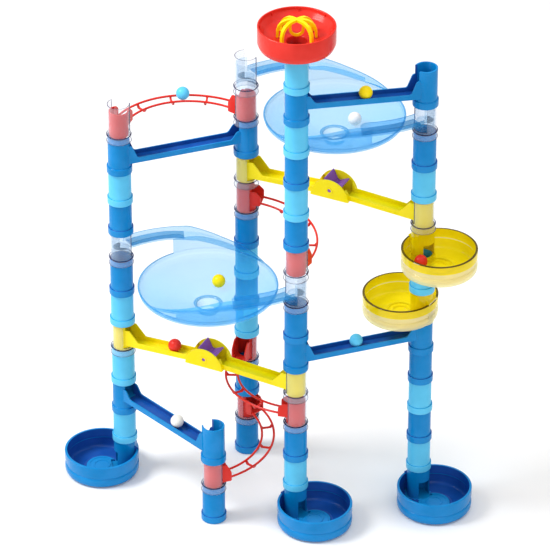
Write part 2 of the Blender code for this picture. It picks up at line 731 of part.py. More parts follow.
def cup(on_tower, angle):
    """Round cup beside its tower post; a cup within a tower has a socket and an open bore below.

    The post's sides are turned back by the cup's own angle, so they line up with the other modules."""
    to_cup = Matrix.Translation((CUP_OFFSET, 0, 0))
    corner = 8 * MM
    outside = [(0, 0), (CUP_R - 0.8 * corner, 0), (CUP_R, 0.8 * corner),
               (CUP_R, CUP_RIM_Z), (0, CUP_RIM_Z)]
    inner_r = CUP_R - CUP_WALL
    disc_top = CUP_FLOOR + CUP_DISC_RISE
    inside = [(0, disc_top), (CUP_DISC_R, disc_top), (CUP_DISC_R, CUP_FLOOR),
              (inner_r - corner, CUP_FLOOR), (inner_r, CUP_FLOOR + corner),
              (inner_r, ABOVE_ALL), (0, ABOVE_ALL)]
    turn = math.pi / CUP_SIDES
    hollow = moved(turned(inside, CUP_SIDES, turn), to_cup)
    body = cut(moved(turned(outside, CUP_SIDES, turn), to_cup), hollow)
    back = CUP_OFFSET - CUP_R + CUP_WALL / 2
    shoulder = [(back, SHOULDER_BOTTOM), (0, SHOULDER_BOTTOM),
                (0, SHOULDER_TOP), (-TUBE_R / 2, SHOULDER_TOP),
                (back, CUP_RIM_Z + FLOOR)]
    if on_tower:
        stem = post(0, -angle)
        bore = post_bore(0, -angle)
        sill = COLLAR_HEIGHT
    else:
        stem = cylinder(TUBE_R, CUP_FLOOR / 2, MODULE_TOP, TUBE_SIDES, -angle)
        bore = post_bore(0, -angle, bottom=CUP_FLOOR)
        sill = CUP_FLOOR
    mouth = [(0, sill), (COLLAR_R + GAP, sill), (COLLAR_R + GAP, POST_OPENING_TOP), (0, POST_OPENING_TOP)]
    add(body, side_prism(shoulder, SHOULDER_HALF_WIDTH), stem)
    return cut(body, bore, side_prism(mouth, POST_OPENING_HALF_WIDTH))


def funnel():
    profile = [(v[0] * MM, v[1] * MM) for v in (
        (36, 12.6), (42.5, 15.0), (45, 21), (45, 42), (43, 42), (43, 38), (37, 31.5), (11.6, 22.0))]
    profile += [(TUBE_BORE_R, SOCKET_DEPTH), (SOCKET_R, SOCKET_DEPTH), (SOCKET_R, 0), (COLLAR_R, 0),
                (COLLAR_R, 12.6 * MM)]
    return turned(profile, CUP_SIDES)


def scrambler():
    """Flat bands bent into arches that cross at the top, with a narrow loop hung from the crossing."""
    outer = [(x * MM, z * MM) for x, z in SCRAMBLER_ARCH]
    top = outer[-1][1]
    shrink = 1 - SCRAMBLER_BAND / outer[0][0]
    inner = [(x * shrink, z * (1 - SCRAMBLER_BAND / top)) for x, z in outer]
    half = outer + [(-x, z) for x, z in reversed(outer)]
    hollow = inner + [(-x, z) for x, z in reversed(inner)]
    arches = []
    for angle in SCRAMBLER_ANGLES:
        band = side_prism(half + hollow[::-1], SCRAMBLER_HALF_WIDTH)
        arches.append(moved(band, Matrix.Rotation(angle, 4, "Z")))
    bend = LOOP_END_Z + LOOP_R
    eye_r = LOOP_R - SCRAMBLER_BAND
    turn = [math.pi * i / 6 for i in range(7)]
    leg_top = top - SCRAMBLER_BAND / 2
    outline = [(LOOP_R, leg_top)] + [(LOOP_R * math.cos(a), bend - LOOP_R * math.sin(a)) for a in turn]
    outline += [(-LOOP_R, leg_top), (-eye_r, leg_top)]
    outline += [(eye_r * math.cos(a), bend - eye_r * math.sin(a)) for a in reversed(turn)]
    outline += [(eye_r, leg_top)]
    loop = side_prism(outline, SCRAMBLER_HALF_WIDTH / 2)
    moved(loop, Matrix.Rotation(SCRAMBLER_ANGLES[0], 4, "Z"))
    return add(*arches, loop)


def marble():
    bm = bmesh.new()
    bmesh.ops.create_uvsphere(bm, u_segments=10, v_segments=6, radius=MARBLE_R)
    return new_object("marble", bm)


# ---------------------------------------------------------------- assembly

def build_tubes():
    for tower, level, count, colour in PLAIN_TUBES:
        name = f"{tower}_tube_{level}" if count == 1 else f"{tower}_tubes_{level}_to_{level + count - 1}"
        place(name, finish_mesh(plain_tube(count), colour), at(tower, level))
    arm = arm_heading()
    turn = fitting_turn()
    long_angle = link_angle("left", "front")
    openings = {
        ("left", 11): [link_angle("left", "back") + turn],
        ("left", 7): [long_angle + arm],
        ("left", 4): [long_angle],
        ("back", 11): [link_angle("back", "left") - turn, long_angle + arm],
        ("back", 8): [link_angle("back", "front") + turn, long_angle],
        ("back", 3): [link_angle("back", "front") - turn],
        ("back", 1): [link_angle("back", "short") + turn],
        ("front", 7): [long_angle + math.pi + arm, link_angle("front", "back") - turn],
        ("front", 3): [link_angle("front", "back") + turn, long_angle + math.pi],
        ("right", 12): [long_angle + math.pi + arm],
        ("right", 9): [long_angle + math.pi],
        ("short", 1): [link_angle("short", "back") - turn],
    }
    for (tower, level), directions in openings.items():
        last = level + len(directions) - 1
        name = f"{tower}_clear_tube_{level}" if last == level else f"{tower}_clear_tubes_{level}_{last}"
        place(name, finish_mesh(clear_tube(directions), "clear"), at(tower, level))


def build_links():
    for name, start, finish, level in CHUTES:
        angle = link_angle(start, finish)
        place(name, finish_mesh(chute(angle), "dark"), at(start, level), angle)
    for pair, start, finish, level in WHEEL_CHUTES:
        place("wheel_chute_" + pair, finish_mesh(wheel_chute(), "yellow"), at(start, level))
        pivot = at(start, level) + Vector((LONG_LINK / 2, 0, ROCKER_Z))
        flipper = place("rocker_" + pair, finish_mesh(rocker(), "purple"), pivot)
        flipper.rotation_euler = (0, -ROCKER_TILT, 0)
    for name, start, finish, level in BOWLS:
        place(name, finish_mesh(bowl(), "bowl"), at(start, level))
    for name, start, finish, level in RAILS:
        place(name, finish_mesh(rail(), "red"), at(start, level), link_angle(start, finish))


def build_cups():
    for name, tower, level, angle in CUPS:
        on_tower = level > 0
        colour = "clear_yellow" if on_tower else "dark"
        place(name, finish_mesh(cup(on_tower, angle), colour), at(tower, level), angle)
    place("funnel", finish_mesh(funnel(), "red"), at("front", FUNNEL_LEVEL))
    foot = Vector((0, 0, SCRAMBLER_FOOT_Z))
    place("scrambler", finish_mesh(scrambler(), "yellow"), at("front", FUNNEL_LEVEL) + foot)


def on_link(start, finish, level, x, y, z):
    """Point given in a link's own frame."""
    return at(start, level) + Matrix.Rotation(link_angle(start, finish), 3, "Z") @ Vector((x, y, z))


def build_marbles():
    resting = MARBLE_R + GAP
    half = LONG_LINK / 2
    on_rods = math.sqrt((MARBLE_R + ROD_R) ** 2 - (RAIL_GAUGE / 2) ** 2) + 2 * GAP
    rail_x = MARBLE_X["rail"]
    rail_angle = math.asin((rail_x - SHORT_LINK / 2) / rail_radius())
    rail_spot = rail_point(rail_angle)

    def in_chute(start, finish, level, x):
        return on_link(start, finish, level, x, 0, chute_bottom(x) + FLOOR + resting)

    def in_bowl(start, finish, level, radius, azimuth):
        angle = math.radians(azimuth)
        slope = (DISH_OUTER_Z - DISH_INNER_Z) / (DISH_OUTER_R - DISH_INNER_R)
        surface = DISH_INNER_Z + slope * (radius / math.cos(math.pi / BOWL_SIDES) - DISH_INNER_R)
        z = surface + (MARBLE_R + GAP) * math.hypot(1, slope)
        return on_link(start, finish, level, half + radius * math.cos(angle), radius * math.sin(angle), z)

    yellow_x = MARBLE_X["yellow chute"]
    _, cup_tower, cup_level, cup_angle = CUPS[3]
    along_cup = CUP_OFFSET * Vector((math.cos(cup_angle), math.sin(cup_angle), 0))
    cup_middle = at(cup_tower, cup_level) + along_cup
    in_cup = CUP_MARBLE_R * Vector((math.cos(CUP_MARBLE_ANGLE), math.sin(CUP_MARBLE_ANGLE), 0))
    cup_spot = in_cup + Vector((0, 0, CUP_FLOOR + resting))
    spots = {
        "marble_on_rail": ("light", on_link("left", "back", 11, rail_x, rail_spot.y,
                                            rail_spot.z + on_rods)),
        "marble_upper_chute": ("yellow", in_chute("front", "right", 13, MARBLE_X["upper chute"])),
        "marble_lower_chute": ("light", in_chute("right", "front", 5, MARBLE_X["lower chute"])),
        "marble_left_chute": ("white", in_chute("left", "short", 2, MARBLE_X["left chute"])),
        "marble_yellow_chute": ("red", on_link("left", "front", 4, yellow_x, 0,
                                               wheel_chute_bottom(yellow_x) + FLOOR + resting)),
        "marble_bowl_left_front": ("yellow", in_bowl("left", "front", 7, 31 * MM, 93)),
        "marble_bowl_back_right": ("white", in_bowl("back", "right", 12, 26.5 * MM, 53)),
        "marble_yellow_cup": ("red", cup_middle + cup_spot),
    }
    for name, (colour, position) in spots.items():
        place(name, finish_mesh(marble(), colour), position)


def main():
    for obj in list(bpy.data.objects):
        bpy.data.objects.remove(obj)
    build_tubes()
    build_links()
    build_cups()
    build_marbles()


main()
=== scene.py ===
"""The looks of the marble run: every CAD node is shown by a finely moulded piece in its own plastic.

Lengths are in metres and +Z is up. Towers and levels are found from the frame's boxes. Links run from a
start tower to a finish tower and are modelled along their own +X, with the start tower's axis at x = 0
and the bottom of their level at z = 0.
"""
import json
import math

import bmesh
import bpy
from mathutils import Matrix, Vector


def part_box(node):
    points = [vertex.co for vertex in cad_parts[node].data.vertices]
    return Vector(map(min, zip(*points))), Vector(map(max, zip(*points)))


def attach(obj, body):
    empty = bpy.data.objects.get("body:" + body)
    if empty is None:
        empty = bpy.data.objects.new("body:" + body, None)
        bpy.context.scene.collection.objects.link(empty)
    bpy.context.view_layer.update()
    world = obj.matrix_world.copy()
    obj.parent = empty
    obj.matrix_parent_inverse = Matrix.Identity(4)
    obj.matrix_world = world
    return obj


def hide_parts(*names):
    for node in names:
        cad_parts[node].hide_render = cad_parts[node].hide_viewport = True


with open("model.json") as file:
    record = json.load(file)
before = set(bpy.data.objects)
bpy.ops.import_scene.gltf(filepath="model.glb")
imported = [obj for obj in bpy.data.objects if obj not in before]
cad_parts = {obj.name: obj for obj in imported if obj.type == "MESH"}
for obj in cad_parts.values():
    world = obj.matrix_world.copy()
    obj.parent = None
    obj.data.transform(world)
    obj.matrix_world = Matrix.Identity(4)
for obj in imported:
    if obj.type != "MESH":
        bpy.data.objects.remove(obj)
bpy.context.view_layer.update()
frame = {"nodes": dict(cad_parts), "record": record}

MM = 0.001
ROOT_BODY = "marble_run"
ROUND = 64

# Tube modules
TUBE_R = 13.6 * MM
TUBE_BORE_R = 11.6 * MM
CLEAR_BORE_R = 12.4 * MM
COLLAR_R = 15.2 * MM
COLLAR_HEIGHT = 8.6 * MM
SOCKET_R = 13.9 * MM
SOCKET_DEPTH = 7.1 * MM
MODULE_TOP = 48.8 * MM
ABOVE_ALL = 60.0 * MM
BELOW_ALL = -5.0 * MM
OPENING_ANGLE = math.radians(120)
OPENING_BOTTOM = 11.0 * MM

# Liners inside the clear tubes
LINER_R = 11.6 * MM
LINER_BORE_R = 10.4 * MM
LINER_BOTTOM = 7.4 * MM
LINER_TOP = 39.5 * MM

# Troughs
HALF_WIDTH = 10.0 * MM
CHANNEL_HALF_WIDTH = 8.4 * MM
TROUGH_DEPTH = 6.6 * MM
FLOOR = 1.6 * MM
CHUTE_START_Z = 20.7 * MM
CHUTE_FINISH_Z = 12.3 * MM
CHEEK_REACH = 20.0 * MM
CHEEK_TOP = 36.5 * MM
INTO_WALL = 7.0 * MM

# Yellow chute and rocker
WHEEL_CHUTE_END_Z = 14.5 * MM
WHEEL_CHUTE_MIDDLE_Z = 20.0 * MM
WHEEL_CHEEK_REACH = 26.0 * MM
HOUSING_R = 24.4 * MM
HOUSING_CENTRE_Z = 17.6 * MM
HOUSING_HALF_WIDTH = 13.7 * MM
HOUSING_WALL = 1.3 * MM
HOUSING_FLOOR_TOP = 19.0 * MM
HOUSING_PIT_HALF_LENGTH = 19.5 * MM
ROCKER_Z = 28.0 * MM
ROCKER_HALF_WIDTH = 12.0 * MM
ROCKER_FIN = 16.5 * MM
ROCKER_ARM = 15.5 * MM
ROCKER_THICKNESS = 1.8 * MM
ROCKER_TILT = math.radians(25)
PIN_R = 2.0 * MM
PIN_HALF_LENGTH = 13.5 * MM
PIN_HOLE_R = 2.3 * MM
BOSS_R = 4.4 * MM
BOSS_INNER_R = PIN_HOLE_R - 1 * MM
BOSS_RISE = 0.8 * MM
ROCKER_HUB_R = 3.2 * MM
ROCKER_HUB_INSET = 0.3 * MM
CHEEK_STEPS = 40

# Bowls
BOWL_R = 82.7 * MM
BOWL_WALL = 1.8 * MM
OUTER_WALL = 1.4 * MM
ARM_JOIN_AZIMUTH = math.radians(90)
STEP_AZIMUTH = math.radians(147)
RIM_TURN = math.radians(70)
ARM_HALF_WIDTH = 9.8 * MM
ARM_START = 0.06
ARM_END = 1.4
# heights and edges in mm at azimuths in degrees about the bowl's middle
ARM_FLOOR = ((150, 20.7), (125, 18.0), (96, 8.0), (64, -1.0))
ARM_OUTER_TOP = ((133, 27.3), (106, 15.8), (80, 6.8), (63, 0.6))
ARM_INNER_TOP = ((140, 27.3), (131, 19.0), (96, 8.0), (64, -1.0))
ARM_INNER_EDGE = ((130, -9.8), (96, -2.7), (64, 7.6))
ARM_CHANNEL_EDGE = ((140, -8.4), (131, -12.0))

# Rails
RAIL_BULGE = 43.7 * MM
RAIL_GAUGE = 14.4 * MM
ROD_R = 1.4 * MM
RAIL_START_Z = 22.2 * MM
RAIL_FINISH_Z = 16.1 * MM
FITTING_REACH = 19.5 * MM
FITTING_HALF_WIDTH = 9.8 * MM
FITTING_CHANNEL = 8.2 * MM
FITTING_CHEEK_END = 8.5 * MM
ROD_OVERLAP = 5.5 * MM
TIE_FRACTIONS = (0.27, 0.49, 0.71)

# Cups, funnel, scrambler and marbles
CUP_R = 45.0 * MM
CUP_RIM_Z = 29.2 * MM
CUP_BAND_Z = 19.0 * MM
CUP_WALL = 2.0 * MM
CUP_FLOOR = 3.0 * MM
CUP_OFFSET = 28.7 * MM
CUP_CORNER = 7 * MM
CUP_SIDES = 96
DISC_R = 19.0 * MM
DISC_STEP = 2.2 * MM
SHOULDER_BOTTOM = 8.2 * MM
SHOULDER_HALF_WIDTH = 9 * MM
MOUTH_TOP = 26 * MM
MOUTH_HALF_WIDTH = 8.6 * MM
FUNNEL_RIBS = 8
SHOULDER_TOP = 38.0 * MM
MARBLE_R = 8.0 * MM

# Camera: a long lens from the front right and above; the target is measured from the left tower's foot
CAMERA_AZIMUTH = math.radians(26.205)
CAMERA_ELEVATION = math.radians(32.205)
CAMERA_DISTANCE = 5.5936
CAMERA_TARGET = Vector((0.18357, 0.03994, 0.30372))
CAMERA_LENS = 310.75

# Scrambler
SCRAMBLER_ARCH = ((23.5, 0.0), (23.3, 8.0), (21.5, 14.0), (18.0, 18.8), (12.5, 22.0), (7.5, 23.0))
SCRAMBLER_BAND = 3.0 * MM
SCRAMBLER_HALF_WIDTH = 2.0 * MM
SCRAMBLER_DEGREES = (26, 66, 166)
LOOP_R = 8.8 * MM
LOOP_END_Z = 1.0 * MM
LOOP_STEPS = 16

# Names of the blue plastics, and towers, levels and links found from the CAD nodes' boxes
DARK, LIGHT = "dark_blue_plastic", "light_blue_plastic"


def centre_of(node):
    low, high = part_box(node)
    return (Vector(low) + Vector(high)) / 2


def bottom_of(node):
    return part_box(node)[0][2]


TOWERS = {
    "left": centre_of("left_tube_9").xy,
    "back": centre_of("back_tube_0").xy,
    "front": centre_of("front_tube_14").xy,
    "right": centre_of("right_tube_11").xy,
    "short": centre_of("short_tube_0").xy,
}
PITCH = bottom_of("left_tube_9") - bottom_of("left_tube_8")
LONG_LINK = (TOWERS["front"] - TOWERS["left"]).length
SHORT_LINK = (TOWERS["back"] - TOWERS["left"]).length


def link_angle(start, finish):
    run = TOWERS[finish] - TOWERS[start]
    return math.atan2(run.y, run.x)


def at(tower, level):
    return Vector((*TOWERS[tower], level * PITCH))


# ---------------------------------------------------------------- solids

def new_object(name, bm):
    bmesh.ops.recalc_face_normals(bm, faces=bm.faces)
    mesh = bpy.data.meshes.new(name)
    bm.to_mesh(mesh)
    bm.free()
    obj = bpy.data.objects.new(name, mesh)
    bpy.context.collection.objects.link(obj)
    return obj


def filleted(outline, radius, steps=3):
    """Outline with each corner rounded by up to the given radius; corners on the axis stay sharp."""
    points = [Vector(p) for p in outline]
    rounded = []
    count = len(points)
    for i, corner in enumerate(points):
        back = points[i - 1] - corner
        ahead = points[(i + 1) % count] - corner
        straight = abs(back.normalized().cross(ahead.normalized())) < 0.05
        if corner.x == 0 or straight:
            rounded.append(tuple(corner))
            continue
        reach = min(radius, 0.45 * back.length, 0.45 * ahead.length)
        first = corner + back.normalized() * reach
        last = corner + ahead.normalized() * reach
        for step in range(steps + 1):
            t = step / steps
            point = first * (1 - t) ** 2 + corner * 2 * t * (1 - t) + last * t ** 2
            rounded.append(tuple(point))
    return rounded


def turned(profile, sides=ROUND, centre_x=0.0):
    """Solid of revolution of a closed (radius, height) profile; radius 0 lies on the axis."""
    bm = bmesh.new()
    angles = [2 * math.pi * i / sides for i in range(sides)]
    rings = []
    for radius, height in profile:
        if radius == 0:
            rings.append([bm.verts.new((centre_x, 0, height))])
        else:
            rings.append([bm.verts.new((centre_x + radius * math.cos(a), radius * math.sin(a), height))
                          for a in angles])
    for ring, following in zip(rings, rings[1:] + rings[:1]):
        if len(ring) == 1 and len(following) == 1:
            continue
        for i in range(sides):
            j = i + 1
            corners = [ring[i % len(ring)], ring[j % len(ring)],
                       following[j % len(following)], following[i % len(following)]]
            bm.faces.new(list(dict.fromkeys(corners)))
    return new_object("turned", bm)


def cylinder(radius, bottom, top, centre_x=0.0, sides=ROUND):
    return turned([(0, bottom), (radius, bottom), (radius, top), (0, top)], sides, centre_x)


def prism(outline, low, high, upright=False):
    """Outline extruded from low to high: (x, z) points along Y, or (x, y) points upwards."""
    bm = bmesh.new()

    def ring(height):
        if upright:
            return [bm.verts.new((a, b, height)) for a, b in outline]
        return [bm.verts.new((a, height, b)) for a, b in outline]

    near, far = ring(low), ring(high)
    bm.faces.new(near)
    bm.faces.new(far)
    for i in range(len(outline)):
        j = (i + 1) % len(outline)
        bm.faces.new((near[i], near[j], far[j], far[i]))
    return new_object("prism", bm)


def side_prism(outline, half_width):
    return prism(outline, -half_width, half_width)


def swept(path, sections):
    """Solid along a path; each section is a ring of (left, up) offsets from its path point."""
    bm = bmesh.new()
    rings = []
    last = len(path) - 1
    for i, (point, section) in enumerate(zip(path, sections)):
        ahead = path[min(i + 1, last)] - path[max(i - 1, 0)]
        left = Vector((-ahead.y, ahead.x, 0)).normalized()
        rings.append([bm.verts.new(point + left * s + Vector((0, 0, u))) for s, u in section])
    for ring, following in zip(rings, rings[1:]):
        for i in range(len(ring)):
            j = (i + 1) % len(ring)
            bm.faces.new((ring[i], ring[j], following[j], following[i]))
    bm.faces.new(rings[0])
    bm.faces.new(rings[-1])
    return new_object("sweep", bm)


def moved(obj, matrix):
    obj.data.transform(matrix)
    return obj


def combine(body, tools, operation):
    """Adds tools to a body or cuts them away, all in one step, and uses the tools up."""
    group = bpy.data.collections.new("tools")
    for tool in tools:
        group.objects.link(tool)
    modifier = body.modifiers.new("combine", "BOOLEAN")
    modifier.operation = operation
    modifier.operand_type = "COLLECTION"
    modifier.collection = group
    graph = bpy.context.evaluated_depsgraph_get()
    mesh = bpy.data.meshes.new_from_object(body.evaluated_get(graph))
    body.modifiers.remove(modifier)
    body.data = mesh
    bm = bmesh.new()
    bm.from_mesh(mesh)
    bmesh.ops.remove_doubles(bm, verts=bm.verts, dist=0.002 * MM)
    bmesh.ops.dissolve_degenerate(bm, edges=bm.edges, dist=0.002 * MM)
    bm.to_mesh(mesh)
    bm.free()
    for tool in tools:
        bpy.data.objects.remove(tool)
    bpy.data.collections.remove(group)
    return body


def add(body, *tools):
    return combine(body, tools, "UNION")


def cut(body, *tools):
    return combine(body, tools, "DIFFERENCE")


def painted(obj, tests):
    """Gives each face the index of the last test that its centre and normal pass, counting from 1."""
    for face in obj.data.polygons:
        for index, test in enumerate(tests, 1):
            if test(face.center, face.normal):
                face.material_index = index
    return obj


def finished(obj, name):
    """Takes a finished shape's mesh, shaded smooth but for its edges."""
    mesh = obj.data
    mesh.name = name
    mesh.shade_smooth()
    mesh.set_sharp_from_angle(angle=math.radians(32))
    bpy.data.objects.remove(obj)
    return mesh


# ---------------------------------------------------------------- tube modules

def is_tube_edge(centre, normal):
    """End rings and the cut sides of the opening, whose normals don't point along a radius; they get a darker
    colour as painted shade, drawn as dark lines along the tube's ends and cuts.
    """
    outwards = Vector((centre.x, centre.y, 0)).normalized()
    return abs(normal.dot(outwards)) < 0.6


def tube_mesh(bore_r, opening=None):
    profile = [(bore_r, SOCKET_DEPTH), (SOCKET_R, SOCKET_DEPTH), (SOCKET_R, 0), (COLLAR_R, 0),
               (COLLAR_R, COLLAR_HEIGHT), (TUBE_R, COLLAR_HEIGHT), (TUBE_R, MODULE_TOP), (bore_r, MODULE_TOP)]
    body = turned(filleted(profile, 0.5 * MM))
    if opening is None:
        return finished(painted(body, [is_tube_edge]), "plain_tube")
    reach = 2 * COLLAR_R
    edges = [opening + OPENING_ANGLE * f for f in (-0.5, 0, 0.5)]
    wedge = [(0, 0)] + [(reach * math.cos(a), reach * math.sin(a)) for a in edges]
    cut(body, prism(wedge, OPENING_BOTTOM, ABOVE_ALL, upright=True))
    return finished(painted(body, [is_tube_edge]), "clear_tube")


# ---------------------------------------------------------------- posts and liners

def post(centre_x):
    outline = [(0, 0), (COLLAR_R, 0), (COLLAR_R, COLLAR_HEIGHT), (TUBE_R, COLLAR_HEIGHT),
               (TUBE_R, MODULE_TOP), (0, MODULE_TOP)]
    return turned(filleted(outline, 0.5 * MM), centre_x=centre_x)


def post_bore(centre_x, bottom=BELOW_ALL, top=ABOVE_ALL):
    if bottom < 0:
        outline = [(0, bottom), (SOCKET_R, bottom), (SOCKET_R, SOCKET_DEPTH),
                   (TUBE_BORE_R, SOCKET_DEPTH), (TUBE_BORE_R, top), (0, top)]
    else:
        outline = [(0, bottom), (TUBE_BORE_R, bottom), (TUBE_BORE_R, top), (0, top)]
    return turned(outline, centre_x=centre_x)


def liner(centre_x=0.0):
    outline = [(0, LINER_BOTTOM), (LINER_R, LINER_BOTTOM), (LINER_R, LINER_TOP), (0, LINER_TOP)]
    return turned(filleted(outline, 0.4 * MM), centre_x=centre_x)


def liner_bore(centre_x=0.0, bottom=BELOW_ALL, top=ABOVE_ALL):
    return cylinder(LINER_BORE_R, bottom, top, centre_x)


# ---------------------------------------------------------------- dark blue chute

def chute_bottom(x):
    return CHUTE_START_Z + (CHUTE_FINISH_Z - CHUTE_START_Z) * x / SHORT_LINK


def is_chute_inside(centre, normal):
    """Floor and inner walls of the trough between the towers, which get a darker blue as painted shade."""
    between = TUBE_R < centre.x < SHORT_LINK - TUBE_R
    in_channel = abs(centre.y) < CHANNEL_HALF_WIDTH + 0.1 * MM
    return between and in_channel and normal.z > -0.1 and abs(normal.x) < 0.9


def chute_mesh():
    length = SHORT_LINK
    near, far = INTO_WALL, length - INTO_WALL
    outline = [
        (near, chute_bottom(near)), (far, chute_bottom(far)), (far, CHEEK_TOP),
        (length - TUBE_R + 0.3 * MM, CHEEK_TOP),
        (length - CHEEK_REACH, chute_bottom(length - CHEEK_REACH) + TROUGH_DEPTH),
        (CHEEK_REACH, chute_bottom(CHEEK_REACH) + TROUGH_DEPTH),
        (TUBE_R - 0.3 * MM, CHEEK_TOP), (near, CHEEK_TOP),
    ]
    inner = chute_bottom(TUBE_BORE_R) + FLOOR
    channel = [(0, inner), (TUBE_BORE_R, inner), (length, chute_bottom(length) + FLOOR),
               (length, ABOVE_ALL), (0, ABOVE_ALL)]
    body = add(post(0), post(length), side_prism(filleted(outline, 2.5 * MM), HALF_WIDTH))
    cut(
        body,
        post_bore(0, top=inner - FLOOR),
        post_bore(0, bottom=inner),
        post_bore(length),
        side_prism(channel, CHANNEL_HALF_WIDTH),
    )
    return finished(painted(body, [is_chute_inside]), "chute")


# ---------------------------------------------------------------- yellow chute and rocker

def wheel_chute_bottom(x):
    half = LONG_LINK / 2
    return WHEEL_CHUTE_END_Z + (WHEEL_CHUTE_MIDDLE_Z - WHEEL_CHUTE_END_Z) * (1 - abs(x - half) / half)


def wheel_chute_mesh():
    length = LONG_LINK
    half = length / 2
    inside = LINER_R / 2

    def end_outline(sign):
        points = [(inside, wheel_chute_bottom(inside)), (half, wheel_chute_bottom(half)),
                  (half, wheel_chute_bottom(half) + TROUGH_DEPTH),
                  (WHEEL_CHEEK_REACH, wheel_chute_bottom(WHEEL_CHEEK_REACH) + TROUGH_DEPTH),
                  (TUBE_R, CHEEK_TOP), (inside, CHEEK_TOP)]
        return [(half + sign * (x - half), z) for x, z in points]

    low = math.asin((HOUSING_FLOOR_TOP - FLOOR - HOUSING_CENTRE_Z) / HOUSING_R)
    arc = [low + (math.pi - 2 * low) * i / CHEEK_STEPS for i in range(CHEEK_STEPS + 1)]
    cheek = [(half + HOUSING_R * math.cos(a), HOUSING_CENTRE_Z + HOUSING_R * math.sin(a)) for a in arc]
    pit_start = half - HOUSING_PIT_HALF_LENGTH
    pit_end = half + HOUSING_PIT_HALF_LENGTH
    pit = [(pit_start, HOUSING_FLOOR_TOP), (pit_end, HOUSING_FLOOR_TOP),
           (pit_end, ABOVE_ALL), (pit_start, ABOVE_ALL)]
    channel = [(0, wheel_chute_bottom(0) + FLOOR), (half, wheel_chute_bottom(half) + FLOOR),
               (length, wheel_chute_bottom(length) + FLOOR), (length, ABOVE_ALL), (0, ABOVE_ALL)]
    sideways = Matrix.Translation((half, 0, ROCKER_Z)) @ Matrix.Rotation(math.pi / 2, 4, "X")
    hole = moved(cylinder(PIN_HOLE_R, -PITCH, PITCH), sideways)
    boss_end = HOUSING_HALF_WIDTH + BOSS_RISE
    ring = filleted([(BOSS_INNER_R, -HOUSING_HALF_WIDTH), (BOSS_R, -boss_end),
                     (BOSS_R, boss_end), (BOSS_INNER_R, HOUSING_HALF_WIDTH)], 0.3 * MM)
    boss = moved(turned([(0, ring[0][1])] + ring + [(0, ring[-1][1])]), sideways)
    body = add(liner(0), liner(length), side_prism(end_outline(1), HALF_WIDTH),
               side_prism(end_outline(-1), HALF_WIDTH), side_prism(cheek, HOUSING_HALF_WIDTH), boss)
    cut(body, liner_bore(0), liner_bore(length), side_prism(channel, CHANNEL_HALF_WIDTH),
        side_prism(pit, HOUSING_HALF_WIDTH - HOUSING_WALL), hole)
    return finished(body, "wheel_chute")


def rocker_mesh():
    half = ROCKER_THICKNESS / 2
    outline = [
        (-ROCKER_ARM, -half), (ROCKER_ARM, -half), (ROCKER_ARM, half), (half, half),
        (half, ROCKER_FIN), (-half, ROCKER_FIN), (-half, half), (-ROCKER_ARM, half),
    ]
    hub = cylinder(ROCKER_HUB_R, ROCKER_HUB_INSET - ROCKER_HALF_WIDTH, ROCKER_HALF_WIDTH - ROCKER_HUB_INSET)
    pin = cylinder(PIN_R, -PIN_HALF_LENGTH, PIN_HALF_LENGTH)
    sideways = Matrix.Rotation(math.pi / 2, 4, "X")
    plates = side_prism(filleted(outline, 0.8 * MM), ROCKER_HALF_WIDTH)
    body = add(plates, moved(hub, sideways), moved(pin, sideways))
    return finished(body, "rocker")


# ---------------------------------------------------------------- bowl

def arm_path(first, last, steps):
    """Points of the arm's centre line: its arc from the tower (0) to the join (1), then round the rim."""
    inner_r = BOWL_R - HALF_WIDTH
    half = LONG_LINK / 2
    shift = (half ** 2 - inner_r ** 2) / (2 * (inner_r + half * math.cos(ARM_JOIN_AZIMUTH)))
    centre = Vector((half - shift * math.cos(ARM_JOIN_AZIMUTH), -shift * math.sin(ARM_JOIN_AZIMUTH), 0))
    radius = shift + inner_r
    start = math.atan2(-centre.y, -centre.x)
    points = []
    for i in range(steps + 1):
        fraction = first + (last - first) * i / steps
        if fraction <= 1:
            angle = start + (ARM_JOIN_AZIMUTH - start) * fraction
            points.append(centre + radius * Vector((math.cos(angle), math.sin(angle), 0)))
        else:
            angle = ARM_JOIN_AZIMUTH - (fraction - 1) * RIM_TURN
            points.append(Vector((half + inner_r * math.cos(angle), inner_r * math.sin(angle), 0)))
    return points


def arm_heading():
    """Direction in which the arm leaves its tower, from the link's own +X."""
    first, second = arm_path(0, 0.02, 1)
    return math.atan2(second.y - first.y, second.x - first.x)


def azimuth_about_bowl(point):
    """Azimuth about the bowl's middle in degrees, from 180 at the tower down to the end of the wall."""
    return math.degrees(math.atan2(point.y, point.x - LONG_LINK / 2))


def along(knots, azimuth):
    """Value at an azimuth, straight between (azimuth, value) knots and level beyond them."""
    if azimuth >= knots[0][0]:
        return knots[0][1]
    for (high, before), (low, after) in zip(knots, knots[1:]):
        if azimuth >= low:
            return after + (before - after) * (azimuth - low) / (high - low)
    return knots[-1][1]


def arm_solid():
    """Arm and its run down round the rim, before the channel is cut."""
    path = arm_path(ARM_START, ARM_END, 56)
    sections = []
    for point in path:
        azimuth = azimuth_about_bowl(point)
        floor = along(ARM_FLOOR, azimuth) * MM
        inner = along(ARM_INNER_EDGE, azimuth) * MM
        inner_top = max(along(ARM_INNER_TOP, azimuth) * MM, floor + FLOOR / 2)
        sections.append([(inner, floor), (ARM_HALF_WIDTH, floor),
                         (ARM_HALF_WIDTH, along(ARM_OUTER_TOP, azimuth) * MM), (inner, inner_top)])
    return swept(path, sections)


def arm_channel():
    path = arm_path(0, ARM_END + 0.02, 56)
    sections = []
    for point in path:
        azimuth = azimuth_about_bowl(point)
        floor = along(ARM_FLOOR, azimuth) * MM + FLOOR
        inner = along(ARM_CHANNEL_EDGE, azimuth) * MM
        sections.append([(inner, floor), (CHANNEL_HALF_WIDTH, floor),
                         (CHANNEL_HALF_WIDTH, ABOVE_ALL), (inner, ABOVE_ALL)])
    return swept(path, sections)


